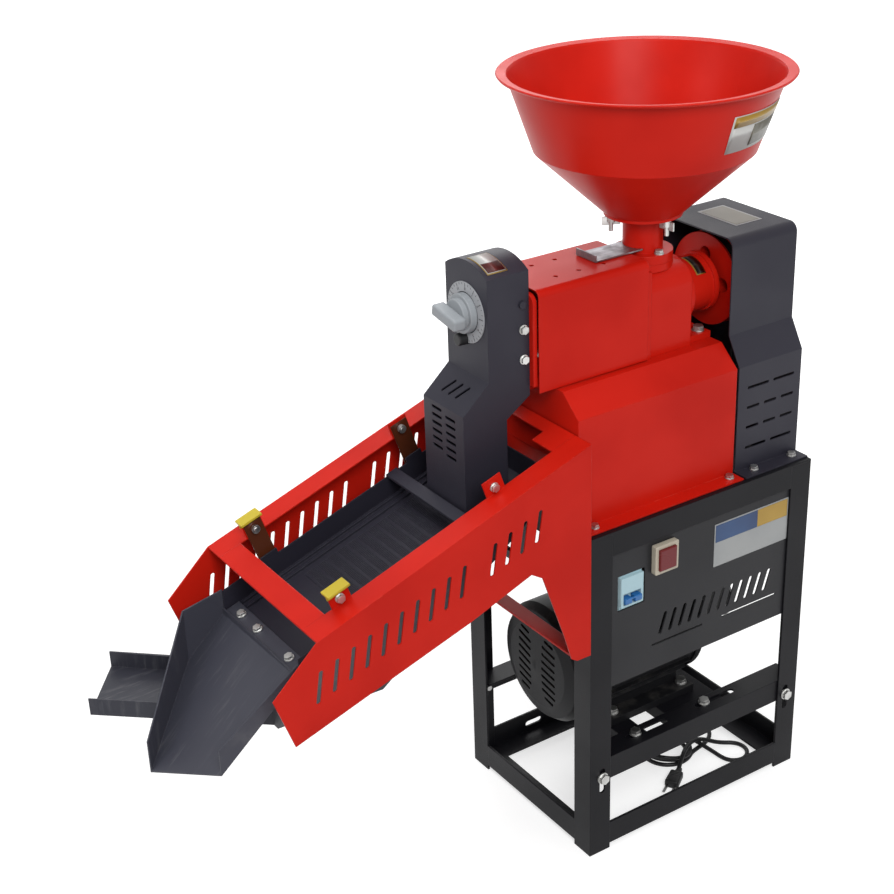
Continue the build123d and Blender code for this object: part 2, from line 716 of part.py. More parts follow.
def chamber_end_plate():
    """End plate between the chamber and the outlet head, with the outlet in it."""
    x0 = HEAD_X[1]
    x1 = COVER_X[0]
    y0, y1 = COVER_Y
    plate = block(x0, x1, y0 + 4, y1 - 4, HOOD_TOP + 10, COVER_Z[1] - 5)
    plate = fillet(plate.edges().filter_by(Axis.X).group_by(Axis.Z)[-1], COVER_BEND + 3)
    plate += block(x1 - 1, x1 + 14, y0 + 20, y1 - 20, HOOD_TOP, HOOD_TOP + 14)
    plate -= rod((x0 - 1, SHAFT_Y, SHAFT_Z), (x1 + 20, SHAFT_Y, SHAFT_Z), SCREEN_R)
    return plate


def rice_screen():
    """Slotted tube round the roller: rice stays inside, bran falls through the slots."""
    x0 = COVER_X[0] + SLIP
    x1 = HOUSING_X[0]
    outer = SCREEN_R + SCREEN_T
    screen = tube((x0, SHAFT_Y, SHAFT_Z), (x1, SHAFT_Y, SHAFT_Z), outer, SCREEN_R)
    rings = 5
    columns = 12
    length = 20.0
    pitch = (x1 - x0 - 20) / rings
    for i in range(rings):
        x = x0 + 10 + pitch * (i + 0.5)
        for j in range(columns // 2):
            slot = block(-length / 2, length / 2, -1.0, 1.0, -outer - 2, outer + 2)
            turn = 360.0 / columns * (j + 0.5 * (i % 2))
            screen -= Pos(x, SHAFT_Y, SHAFT_Z) * Rot(turn, 0, 0) * slot
    return screen


def milling_roller():
    """Iron roller with raised ribs along it."""
    x0 = COVER_X[0] + 6
    x1 = HOUSING_X[0] - 2
    roller = rod((x0, SHAFT_Y, SHAFT_Z), (x1, SHAFT_Y, SHAFT_Z), ROLLER_R - 4)
    ribs = 4
    for i in range(ribs):
        rib = block(x0, x1, -3.5, 3.5, ROLLER_R - 6, ROLLER_R)
        roller += Pos(0, SHAFT_Y, SHAFT_Z) * Rot(360.0 / ribs * i + 20, 0, 0) * rib
    return roller - rod((x0 - 1, SHAFT_Y, SHAFT_Z), (x1 + 1, SHAFT_Y, SHAFT_Z), SHAFT_R)


def feed_screw():
    """Screw that pushes the paddy from under the hopper into the chamber."""
    x0 = HOUSING_X[0]
    x1 = HOUSING_X[1] - 12
    core = SHAFT_R + 5
    screw = rod((x0, SHAFT_Y, SHAFT_Z), (x1, SHAFT_Y, SHAFT_Z), core)
    turns = 2
    pitch = (x1 - x0 - 6) / turns
    path = Helix(pitch=pitch, height=x1 - x0 - 6, radius=core - 1)
    depth = ROLLER_R - core + 1
    start = Plane(origin=(core - 1, 0, 0), x_dir=(1, 0, 0), z_dir=(0, 1, 0))
    face = start * Pos(depth / 2, 0, 0) * Rectangle(depth, 5)
    flight = sweep(face, path=path, is_frenet=True)
    screw += Location((x0 + 3, SHAFT_Y, SHAFT_Z), (0, 90, 0)) * flight
    return screw - rod((x0 - 1, SHAFT_Y, SHAFT_Z), (x1 + 1, SHAFT_Y, SHAFT_Z), SHAFT_R)


def main_shaft():
    x0 = COVER_X[0] + 6
    x1 = PULLEY_X0 + GROOVES * GROOVE_PITCH + 10
    return rod((x0, SHAFT_Y, SHAFT_Z), (x1, SHAFT_Y, SHAFT_Z), SHAFT_R)


def feed_housing():
    """Casting with the feed throat, the bearing barrel and its foot on the hood."""
    x0, x1 = HOUSING_X
    y0, y1 = COVER_Y
    body = block(x0, x1 - 8, y0 + 6, y1 - 6, HOOD_TOP, HOUSING_TOP - 8)
    body = fillet(body.edges().filter_by(Axis.X).group_by(Axis.Z)[-1], 24)
    body += block(x0, x0 + CHAMBER_FLANGE_T, y0 + 1.8, y1 - 1.8, HOOD_TOP, HOUSING_TOP)
    body += rod((HOPPER_X, SHAFT_Y, SHAFT_Z), (HOPPER_X, SHAFT_Y, HOUSING_TOP), NECK_FLANGE_R - 6)
    body += rod((HOPPER_X, SHAFT_Y, HOUSING_TOP - 10), (HOPPER_X, SHAFT_Y, HOUSING_TOP), NECK_FLANGE_R)
    body += rod((x1 - 10, SHAFT_Y, SHAFT_Z), (x1, SHAFT_Y, SHAFT_Z), BEARING_R + 11)
    body += rod((x1 - 10, SHAFT_Y, SHAFT_Z), (BEARING_X1, SHAFT_Y, SHAFT_Z), BEARING_R)
    body += rod((BEARING_X1 - 9, SHAFT_Y, SHAFT_Z), (BEARING_X1 - 2, SHAFT_Y, SHAFT_Z), BEARING_R + 3)
    web = [(x1 - 10, SHAFT_Z - 10), (x1 + 18, SHAFT_Z - 20), (x1 + 10, SHAFT_Z - 48), (x1 + 26, HOOD_TOP + 4),
           (x1 - 10, HOOD_TOP + 4)]
    body += profile_xz(web, SHAFT_Y - 10, SHAFT_Y + 10)
    body += block(x1 - 9, HOOD_X[1], y0 + 12, y1 - 12, HOOD_TOP, HOOD_TOP + 9)
    body -= rod((x0 - 1, SHAFT_Y, SHAFT_Z), (x1 - 9, SHAFT_Y, SHAFT_Z), SCREEN_R - 3)
    body -= rod((x1 - 11, SHAFT_Y, SHAFT_Z), (BEARING_X1 + 1, SHAFT_Y, SHAFT_Z), BEARING_BORE)
    body -= rod((HOPPER_X, SHAFT_Y, SHAFT_Z), (HOPPER_X, SHAFT_Y, HOUSING_TOP + 1), NECK_R - NECK_T)
    for y in (y0 + 23, y1 - 23):
        body -= rod((FOOT_BOLT_X, y, HOOD_TOP - 1), (FOOT_BOLT_X, y, HOOD_TOP + 10), 4.3)
    return body


def shaft_bearings():
    """Two ball bearings in the barrel, drawn as plain rings."""
    rings = []
    for x0 in (HOUSING_X[1] - 4, BEARING_X1 - 22):
        rings.append(tube((x0, SHAFT_Y, SHAFT_Z), (x0 + 15, SHAFT_Y, SHAFT_Z), BEARING_BORE, SHAFT_R + 0.05))
    return Compound(children=rings)


# Hopper

def hopper():
    """Spun sheet hopper: flared lip, steep bowl, cone and a flat base with its hole."""
    t = HOPPER_T
    outer = [
        (NECK_R - NECK_T, BASE_Z), (BASE_R, BASE_Z), (BREAK_R, BREAK_Z), (RIM_R - RIM_LIP, RIM_Z - 6),
        (RIM_R - 2, RIM_Z - 4), (RIM_R, RIM_Z - 1.5), (RIM_R - 1.5, RIM_Z), (RIM_R - RIM_LIP, RIM_Z - 2),
        (RIM_R - RIM_LIP - t, RIM_Z - 5), (BREAK_R - t, BREAK_Z + 0.5), (BASE_R - t, BASE_Z + t),
        (NECK_R - NECK_T, BASE_Z + t)]
    face = make_face(Polyline([(r, 0, z) for r, z in outer], close=True))
    bowl = revolve(face, Axis.Z)
    bowl = Pos(HOPPER_X, SHAFT_Y, 0) * bowl
    for angle in WING_ANGLES:
        x, y = wing_place(angle)
        bowl -= rod((x, y, BASE_Z - 1), (x, y, BASE_Z + t + 1), 3.3)
    return bowl


def wing_place(angle):
    turn = math.radians(angle)
    return HOPPER_X + WING_R * math.cos(turn), SHAFT_Y + WING_R * math.sin(turn)


def hopper_neck():
    """Cast neck: flanges top and bottom, and a slot for the gate."""
    axis = (HOPPER_X, SHAFT_Y)
    neck = rod((*axis, HOUSING_TOP), (*axis, BASE_Z), NECK_R)
    neck += rod((*axis, HOUSING_TOP), (*axis, HOUSING_TOP + 12), NECK_FLANGE_R)
    neck += rod((*axis, BASE_Z - 5), (*axis, BASE_Z), BASE_R - 2)
    neck -= rod((*axis, HOUSING_TOP - 1), (*axis, BASE_Z + 1), NECK_R - NECK_T)
    neck -= block(HOPPER_X - NECK_R - 9, GATE_X1 + 0.5, SHAFT_Y - GATE_W / 2 - 0.2, SHAFT_Y + GATE_W / 2 + 0.2,
                  GATE_Z - 0.1, GATE_Z + GATE_T + 0.1)
    for angle in WING_ANGLES:
        x, y = wing_place(angle)
        neck -= rod((x, y, BASE_Z - 6), (x, y, BASE_Z + 1), 3.3)
    for y in (SHAFT_Y - NECK_BOLT_OUT, SHAFT_Y + NECK_BOLT_OUT):
        neck -= rod((HOPPER_X, y, HOUSING_TOP - 1), (HOPPER_X, y, HOUSING_TOP + 13), 3.3)
    return neck


def feed_gate():
    """Bright slide plate through the neck, with a turned-up end to pull."""
    half = GATE_W / 2
    gate = block(GATE_X0, GATE_X1, SHAFT_Y - half, SHAFT_Y + half, GATE_Z, GATE_Z + GATE_T)
    gate -= block(GATE_X1 - 9, GATE_X1 + 1, SHAFT_Y - half - 1, SHAFT_Y - half + 12, GATE_Z - 1, GATE_Z + 9)
    gate -= block(GATE_X1 - 9, GATE_X1 + 1, SHAFT_Y + half - 12, SHAFT_Y + half + 1, GATE_Z - 1, GATE_Z + 9)
    gate += block(GATE_X0, GATE_X0 + GATE_T, SHAFT_Y - half, SHAFT_Y + half, GATE_Z, GATE_Z + 9)
    return gate


def wing_bolts():
    """Bolts up through the neck flange, each with a wing nut under it."""
    bolts = []
    for angle in WING_ANGLES:
        x, y = wing_place(angle)
        bolt = rod((x, y, BASE_Z - 26), (x, y, BASE_Z + HOPPER_T), 3)
        bolt += rod((x, y, BASE_Z + HOPPER_T), (x, y, BASE_Z + HOPPER_T + 3), 6)
        bolt += rod((x, y, BASE_Z - 14), (x, y, BASE_Z - 5), 5.5)
        for side in (-1, 1):
            wing = block(-1.1, 1.1, 3, 12, -18, -7)
            wing = Pos(x, y, BASE_Z) * Rot(0, 0, angle + 90 * side) * wing
            bolt += wing
        bolts.append(bolt)
    return Compound(children=bolts)


def neck_bolts():
    bolts = []
    for y in (SHAFT_Y - NECK_BOLT_OUT, SHAFT_Y + NECK_BOLT_OUT):
        bolts.append(hex_bolt((HOPPER_X, y, HOUSING_TOP + 12), (0, 0, -1), 6, 12))
    return Compound(children=bolts)


# Outlet head

def head_outline(t, bottom_z0):
    x0, x1 = HEAD_X
    d0, d1 = HEAD_DROP_X
    high = HEAD_SIDE_TOP + HEAD_ARCH + 10
    bend = 0.4 * t
    return [
        (x0 + t, high), (x1 - t, high), (x1 - t, HEAD_BACK_BEND_Z[0] + bend), (d1 - t, HEAD_BACK_BEND_Z[1] + bend),
        (d1 - t, slope_z(d1, bottom_z0)), (d0 + t, slope_z(d0, bottom_z0)),
        (d0 + t, HEAD_FRONT_BEND_Z[1] - bend), (x0 + t, HEAD_FRONT_BEND_Z[0] - bend)]


def arch_outline(t, low, high):
    """Cross-section of the head: straight sides under a low arch."""
    y0, y1 = HEAD_Y
    side = HEAD_SIDE_TOP
    sides = Polyline((low, y0 + t, side - t), (low, y0 + t, 500), (low, y1 - t, 500), (low, y1 - t, side - t))
    arch = ThreePointArc((low, y1 - t, side - t), (low, SHAFT_Y, side + HEAD_ARCH - t), (low, y0 + t, side - t))
    return extrude(make_face([sides, arch]), amount=high - low, dir=(1, 0, 0))


def outlet_head():
    """Dog-leg sheet duct: rice leaves the chamber, passes the flap and drops on the sieve."""
    y0, y1 = HEAD_Y
    low = HEAD_DROP_X[0] - 5
    high = HEAD_X[1] + 5
    outer = profile_xz(head_outline(0, HEAD_BOTTOM_Z0), y0, y1) & arch_outline(0, low, high)
    inner = profile_xz(head_outline(HEAD_T, HEAD_BOTTOM_Z0 - 20), y0, y1) & arch_outline(HEAD_T, low, high)
    head = outer - inner
    head -= rod((HEAD_X[1] - 9, SHAFT_Y, SHAFT_Z), (HEAD_X[1] + 1, SHAFT_Y, SHAFT_Z), SCREEN_R)
    head -= rod((HEAD_X[0] - 1, SHAFT_Y, DIAL_Z), (HEAD_X[0] + 9, SHAFT_Y, DIAL_Z), SPINDLE_R + 0.05)
    front = HEAD_DROP_X[0]
    for column, y in enumerate((SHAFT_Y + 15.0, SHAFT_Y - 15.0)):
        for i in range(6):
            z = 668.0 - 10.5 * i - 5.0 * column
            head -= slot_yz(y, z, 22.0, 4.0, front - 1, front + HEAD_T + 1)
    bevel_dx = HEAD_X[0] - HEAD_DROP_X[0]
    bevel_dz = HEAD_FRONT_BEND_Z[0] - HEAD_FRONT_BEND_Z[1]
    centre = (HEAD_DROP_X[0] + bevel_dx / 2, SHAFT_Y, HEAD_FRONT_BEND_Z[1] + bevel_dz / 2)
    face = Plane(origin=centre, x_dir=(0, 1, 0), z_dir=(-bevel_dz, 0, bevel_dx))
    for i in range(3):
        slot = face.offset(-4) * Pos((i - 1) * 15.0, 0, 0) * Rot(0, 0, 60) * SlotOverall(24, 4)
        head -= extrude(slot, amount=6)
    for z in HEAD_BOLT_Z:
        for y in (y0 - 1, y1 - 9):
            head -= rod((HEAD_BOLT_X, y, z), (HEAD_BOLT_X, y + 10, z), 3.3)
    for y in (y0 - 1, y1 - 9):
        head -= rod((FLAP_PIN_X, y, FLAP_PIN_Z), (FLAP_PIN_X, y + 10, FLAP_PIN_Z), FLAP_PIN_R)
    return head


def dial_ring():
    x = HEAD_X[0]
    return tube((x - 1.5, SHAFT_Y, DIAL_Z), (x, SHAFT_Y, DIAL_Z), DIAL_R, KNOB_R + 1.0)


def pressure_knob():
    """Two-step knob with a bar grip, its spindle and the cam that loads the flap."""
    x = HEAD_X[0] - 0.5
    length, height, reach = KNOB_GRIP
    knob = rod((x, SHAFT_Y, DIAL_Z), (x - 10, SHAFT_Y, DIAL_Z), KNOB_R)
    knob += rod((x - 10, SHAFT_Y, DIAL_Z), (x - 17, SHAFT_Y, DIAL_Z), KNOB_R - 5)
    grip = block(x - 17 - reach, x - 16, -length / 2, length / 2, -height / 2, height / 2)
    grip = fillet(grip.edges().filter_by(Axis.X), 4)
    knob += Pos(0, SHAFT_Y, DIAL_Z) * Rot(KNOB_TILT, 0, 0) * grip
    knob += rod((x - 1, SHAFT_Y, DIAL_Z), (x + 34, SHAFT_Y, DIAL_Z), SPINDLE_R)
    cam = Plane(origin=(x + 22, SHAFT_Y, DIAL_Z), z_dir=(1, 0, 0)) * Pos(0, 5, 0) * Circle(11)
    knob += extrude(cam, amount=8)
    return knob


def knob_stop():
    x = HEAD_X[0]
    y = SHAFT_Y + 4
    z = DIAL_Z - DIAL_R + 4
    return rod((x - 1.5, y, z), (x - 12, y, z), 5)


def flap_pin():
    y0, y1 = HEAD_Y
    pin = rod((FLAP_PIN_X, y0, FLAP_PIN_Z), (FLAP_PIN_X, y1, FLAP_PIN_Z), FLAP_PIN_R)
    pin += rod((FLAP_PIN_X, y0 - 2.5, FLAP_PIN_Z), (FLAP_PIN_X, y0, FLAP_PIN_Z), FLAP_PIN_R + 2)
    pin += rod((FLAP_PIN_X, y1, FLAP_PIN_Z), (FLAP_PIN_X, y1 + 2.5, FLAP_PIN_Z), FLAP_PIN_R + 2)
    return pin


def pressure_flap():
    """Plate that hangs from the pin over the outlet."""
    y0 = HEAD_Y[0] + HEAD_T + 1
    y1 = HEAD_Y[1] - HEAD_T - 1
    knuckle = FLAP_PIN_R + 2.5
    x = HEAD_X[1] - HEAD_T
    flap = block(x - 3.2, x - 0.7, y0 + 3.5, y1 - 3.5, SHAFT_Z - SCREEN_R - 4, FLAP_PIN_Z)
    for a, b in ((y0, y0 + 22), (y1 - 22, y1)):
        flap += rod((FLAP_PIN_X, a, FLAP_PIN_Z), (FLAP_PIN_X, b, FLAP_PIN_Z), knuckle)
    flap -= block(x - 9, x + 1, y0 + 22, y1 - 22, FLAP_PIN_Z - 10, FLAP_PIN_Z + 9)
    arm = block(FLAP_PIN_X, x - 0.7, y0, y0 + 22, FLAP_PIN_Z - 3, FLAP_PIN_Z + 3)
    other = block(FLAP_PIN_X, x - 0.7, y1 - 22, y1, FLAP_PIN_Z - 3, FLAP_PIN_Z + 3)
    flap += arm + other
    return flap - rod((FLAP_PIN_X, y0 - 1, FLAP_PIN_Z), (FLAP_PIN_X, y1 + 1, FLAP_PIN_Z), FLAP_PIN_R + 0.05)


def flap_spring():
    """Torsion spring on the pin, drawn as its row of touching coils."""
    wire = 1.2
    coils = 10
    inner = FLAP_PIN_R + 0.3
    y0 = SHAFT_Y - coils * wire
    face = make_face(Polyline([(inner, 0, 0), (inner + wire, 0, 0), (inner + wire, 0, 2 * coils * wire),
                               (inner, 0, 2 * coils * wire)], close=True))
    spring = revolve(face, Axis.Z)
    for i in range(coils):
        ring = Pos(0, 0, wire * (2 * i + 1)) * Torus(inner + wire, wire * 0.98)
        spring += ring
    return Location((FLAP_PIN_X, y0, FLAP_PIN_Z), (-90, 0, 0)) * spring


def head_bolts():
    bolts = []
    for z in HEAD_BOLT_Z:
        bolts.append(hex_bolt((HEAD_BOLT_X, HEAD_Y[0], z), (0, 1, 0), 6, 5))
        bolts.append(hex_bolt((HEAD_BOLT_X, HEAD_Y[1], z), (0, -1, 0), 6, 5))
    return Compound(children=bolts)


# Sieve frame

def side_plate_outline():
    crest = (SIDE_CREST_X, slope_z(SIDE_CREST_X, SIDE_TOP_Z0))
    return [
        (0, SIDE_TOP_Z0), crest, SIDE_TIP, (-433, 372), (-184, 449), (-93, 483), (-76, 472),
        (-43, 376), (-31, 336), (-22, 330), (0, 330)]


def sieve_side():
    """Near side plate: bent top flange, mounting flange, slanted slots and two hanger tabs."""
    plate = profile_xz(side_plate_outline(), 0, SIDE_T)
    plate += slope_sheet(SIDE_CREST_X, 0, 0, SIDE_FLANGE, SIDE_TOP_Z0, SIDE_T)
    plate += block(-SIDE_T, 0, 0, SIDE_FLANGE - 4, 330, SIDE_TOP_Z0 - 3)
    for z in FRAME_BOLT_Z:
        plate -= rod((-9, FRAME_BOLT_Y, z), (9, FRAME_BOLT_Y, z), 3.3)
    count = 15
    lean = math.degrees(math.atan(SLOPE))
    for i in range(count):
        if i == 10:
            continue
        x = -396.0 + 22.5 * i
        z = slope_z(x, SIDE_TOP_Z0) - 60.0
        plate -= slot_xz(x, z, 44.0, 6.0, -1, SIDE_T + 1, lean + 62)
    for x in STRIP_X:
        plate += hanger_tab(x)
        plate -= strip_bolt_hole(x)
    return plate


def strip_bolt(x, down=0.0):
    """Place of a strip's bolt: down is the distance from the top bolt along the strip."""
    lean = math.atan(SLOPE)
    z = slope_z(x, STRIP_TOP_Z0)
    return x + down * math.sin(lean), z - down * math.cos(lean)


def hanger_tab(x):
    bx, bz = strip_bolt(x)
    frame = Plane(origin=(bx, SIDE_FLANGE - SIDE_T, bz), x_dir=(1, 0, SLOPE), z_dir=(0, -1, 0))
    low = (slope_z(bx, SIDE_TOP_Z0) - bz) * math.cos(math.atan(SLOPE)) - 1
    tab = frame * Pos(0, (TAB_TOP + low) / 2, 0) * Rectangle(STRIP_W + 3, TAB_TOP - low)
    tab = extrude(tab, amount=-SIDE_T)
    return tab


def strip_bolt_hole(x):
    bx, bz = strip_bolt(x)
    return rod((bx, SIDE_FLANGE - 9, bz), (bx, SIDE_FLANGE + 9, bz), 3.3)


def to_far_side(shape):
    return Pos(0, STAND_D, 0) * mirror(shape, Plane.XZ)


def sieve_side_near():
    return sieve_side()


def sieve_side_far():
    return to_far_side(sieve_side())


def sieve_front_bar():
    y0 = SIDE_FLANGE
    x0 = SIDE_CREST_X
    return slope_sheet(x0, x0 + 30, y0, STAND_D - y0, SIDE_TOP_Z0, SIDE_T)


def sieve_end_bar():
    """Stepped strip and apron at the stand end of the sieve frame."""
    y0 = SIDE_FLANGE
    y1 = STAND_D - y0
    step = 42.0
    top = slope_sheet(-17, 0, y0, y1, SIDE_TOP_Z0, SIDE_T)
    top += slope_sheet(-35, -16, y0, y0 + step, SIDE_TOP_Z0, SIDE_T)
    top += slope_sheet(-35, -16, y1 - step, y1, SIDE_TOP_Z0, SIDE_T)
    apron = block(-SIDE_T, 0, y0, y1, 585, SIDE_TOP_Z0 - 2)
    return top + apron


def sieve_tie_bar():
    y0 = SIDE_T
    return block(-24, -SIDE_T, y0, STAND_D - y0, 331, 334)


def frame_bolts():
    """Bolts that hold the sieve frame's flanges to the stand legs."""
    bolts = []
    for z in FRAME_BOLT_Z:
        for y in (FRAME_BOLT_Y, STAND_D - FRAME_BOLT_Y):
            bolts.append(hex_bolt((-SIDE_T, y, z), (1, 0, 0), 6, 12))
    return Compound(children=bolts)


# Hangers and sieve

def leaf_strips(near):
    strips = []
    for x in STRIP_X:
        bx, bz = strip_bolt(x)
        frame = Plane(origin=(bx, SIDE_FLANGE + 1.0, bz), x_dir=(1, 0, SLOPE), z_dir=(0, -1, 0))
        length = STRIP_LENGTH + 18
        strip = frame * Pos(0, -STRIP_LENGTH / 2, 0) * Rectangle(STRIP_W, length)
        strip -= frame * Circle(3.3)
        strip -= frame * Pos(0, -STRIP_LENGTH, 0) * Circle(3.6)
        strip = extrude(strip, amount=-STRIP_T)
        strips.append(strip if near else to_far_side(strip))
    return Compound(children=strips)


def near_strips():
    return leaf_strips(True)


def far_strips():
    return leaf_strips(False)


def strip_bolts_top():
    """Upper strip bolts: head outside the tab, nut inside the strip."""
    bolts = []
    for x in STRIP_X:
        bx, bz = strip_bolt(x)
        y = SIDE_FLANGE - SIDE_T
        bolt = hex_bolt((bx, y, bz), (0, 1, 0), 6, SIDE_T + STRIP_T + 8)
        bolt += tube((bx, y + SIDE_T, bz), (bx, y + SIDE_T + 0.6, bz), 4.5, 3)
        bolt += rod((bx, SIDE_FLANGE + STRIP_T + 2, bz), (bx, SIDE_FLANGE + STRIP_T + 7, bz), 5.5)
        bolts += [bolt, to_far_side(bolt)]
    return Compound(children=bolts)


def strip_bolts_low():
    bolts = []
    for x in STRIP_X:
        bx, bz = strip_bolt(x, STRIP_LENGTH)
        y = SIDE_FLANGE + 1.0
        bolt = rod((bx, y - 7, bz), (bx, TRAY_Y[0], bz), 3)
        bolt += rod((bx, y - 7, bz), (bx, y - 1, bz), 5.5)
        bolt += tube((bx, y + STRIP_T + 1.0, bz), (bx, TRAY_Y[0], bz), 5, 3)
        bolts += [bolt, to_far_side(bolt)]
    return Compound(children=bolts)


def hanger_caps():
    """Yellow caps on the two front tabs."""
    x = STRIP_X[0]
    bx, bz = strip_bolt(x)
    y1 = SIDE_FLANGE - SIDE_T
    frame = Plane(origin=(bx, y1, bz), x_dir=(1, 0, SLOPE), z_dir=(0, -1, 0))
    top = frame * Pos(0, TAB_TOP + 1.5, 0) * Rectangle(STRIP_W + 6, 3)
    cap = extrude(top, amount=-9) + extrude(top, amount=9)
    lip = frame * Pos(0, TAB_TOP - 2, 0) * Rectangle(STRIP_W + 6, 8)
    cap += extrude(lip, amount=2)
    return Compound(children=[cap, to_far_side(cap)])


def sieve_tray():
    """Sheet tray on the slope: floor, two side walls with lugs, back wall and long ridges."""
    x0, x1 = TRAY_X
    y0, y1 = TRAY_Y
    drop = TRAY_T / math.cos(math.atan(SLOPE))
    tray = slope_sheet(x0, x1, y0, y1, TRAY_FLOOR_Z0, TRAY_T)
    wall = [
        (x0, slope_z(x0, TRAY_FLOOR_Z0) - drop), (x1, slope_z(x1, TRAY_FLOOR_Z0) - drop),
        (x1, slope_z(x1, TRAY_TOP_Z0)), (x0, slope_z(x0, TRAY_TOP_Z0))]
    near = profile_xz(wall, y0, y0 + TRAY_T)
    for x in STRIP_X:
        bx, bz = strip_bolt(x, STRIP_LENGTH)
        frame = Plane(origin=(bx, y0, bz), x_dir=(1, 0, SLOPE), z_dir=(0, -1, 0))
        near += extrude(frame * Pos(0, -5, 0) * Rectangle(STRIP_W, 30), amount=-TRAY_T)
    tray += near + to_far_side(near)
    tray += profile_xz([(x1 - TRAY_T, slope_z(x1, TRAY_FLOOR_Z0) - drop), (x1, slope_z(x1, TRAY_FLOOR_Z0) - drop),
                        (x1, slope_z(x1, TRAY_TOP_Z0)), (x1 - TRAY_T, slope_z(x1, TRAY_TOP_Z0))], y0, y1)
    for y in (y1 - 22, y1 - 9):
        ridge = slope_sheet(x0 + 22, x1 - 6, y - 2, y + 2, TRAY_FLOOR_Z0 + 3.5, 4.5)
        tray += ridge
    window = slope_sheet(SCREEN_X[0], SCREEN_X[1], SCREEN_Y[0], SCREEN_Y[1], TRAY_FLOOR_Z0 + 5, 20)
    tray -= window
    for y in CHUTE_BOLT_Y:
        tray -= slope_hole(x0 + CHUTE_BOLT_IN, y, LAP_TOP_Z0)
    return tray


def slope_hole(x, y, z0):
    """Hole for an M6 bolt, square to the slope."""
    z = slope_z(x, z0)
    return rod((x - 9 * SLOPE, y, z + 9), (x + 9 * SLOPE, y, z - 9), 3.3)


def sieve_screen():
    """Punched screen let into the tray floor: rows of fine slots."""
    x0, x1 = SCREEN_X
    y0, y1 = SCREEN_Y
    screen = slope_sheet(x0 + SLIP, x1 - SLIP, y0 + SLIP, y1 - SLIP, TRAY_FLOOR_Z0, TRAY_T)
    rows = 9
    columns = 9
    holes = []
    for i in range(columns):
        x = x0 + (x1 - x0) / columns * (i + 0.5)
        for j in range(rows):
            y = y0 + (y1 - y0) / rows * (j + 0.5)
            z = slope_z(x, TRAY_FLOOR_Z0)
            holes.append(block(x - 9, x + 9, y - 1.5, y + 1.5, z - 9, z + 6))
    return screen - holes


def tray_bridge():
    """Bar across the tray under the outlet head."""
    z0 = TRAY_TOP_Z0 + 3.27
    return slope_sheet(BRIDGE_X - 8, BRIDGE_X + 8, TRAY_Y[0], TRAY_Y[1], z0, 3)


def main_chute_floor(x, y):
    return 427.5 + 0.917 * (x + 400.0) - 0.03 * (y - 140.0)


def flat_plate(points, direction, thickness):
    face = make_face(Polyline(points, close=True))
    return extrude(face, amount=thickness, dir=direction)


def main_chute():
    """Rice chute bolted to the tray: steep floor, far wall turned in, near wall straight."""
    t = PAN_T
    fold = (-456.0, 240.0)
    lip_far = (-551.0, 166.0)
    lip_near = (-507.0, 52.0)
    near = (-400.0, 45.0)
    far = (-400.0, 240.0)

    def at(place, up=0.0):
        return (place[0], place[1], main_chute_floor(*place) + up)

    floor = flat_plate([at(far), at(fold), at(lip_far), at(lip_near), at(near)], (0, 0, 1), t)
    wall_a = flat_plate([at(far), at(fold), at(fold, 74), at(far, 34)], (0, -1, 0), t)
    inward = Vector(0.615, -0.788, 0)
    wall_b = flat_plate([at(fold), at(lip_far), at(lip_far, 45), at(fold, 74)], tuple(inward), t)
    inward_near = Vector(-0.065, 0.998, 0)
    wall_c = flat_plate([at(near), at(lip_near), at(lip_near, 35), at(near, 18)], tuple(inward_near), t)
    lap = slope_sheet(-402, TRAY_X[0] + 20, near[1], far[1] - 5, LAP_TOP_Z0, t)
    riser = block(-402, -400.1, near[1], far[1], 423, 433)
    chute = floor + wall_a + wall_b + wall_c + riser + lap
    for y in CHUTE_BOLT_Y:
        chute -= slope_hole(TRAY_X[0] + CHUTE_BOLT_IN, y, LAP_TOP_Z0)
    return chute


def chute_bolts():
    bolts = []
    for y in CHUTE_BOLT_Y:
        x = TRAY_X[0] + CHUTE_BOLT_IN
        z = slope_z(x, LAP_TOP_Z0)
        bolts.append(hex_bolt((x, y, z), (SLOPE, 0, -1), 6, 8))
    return Compound(children=bolts)


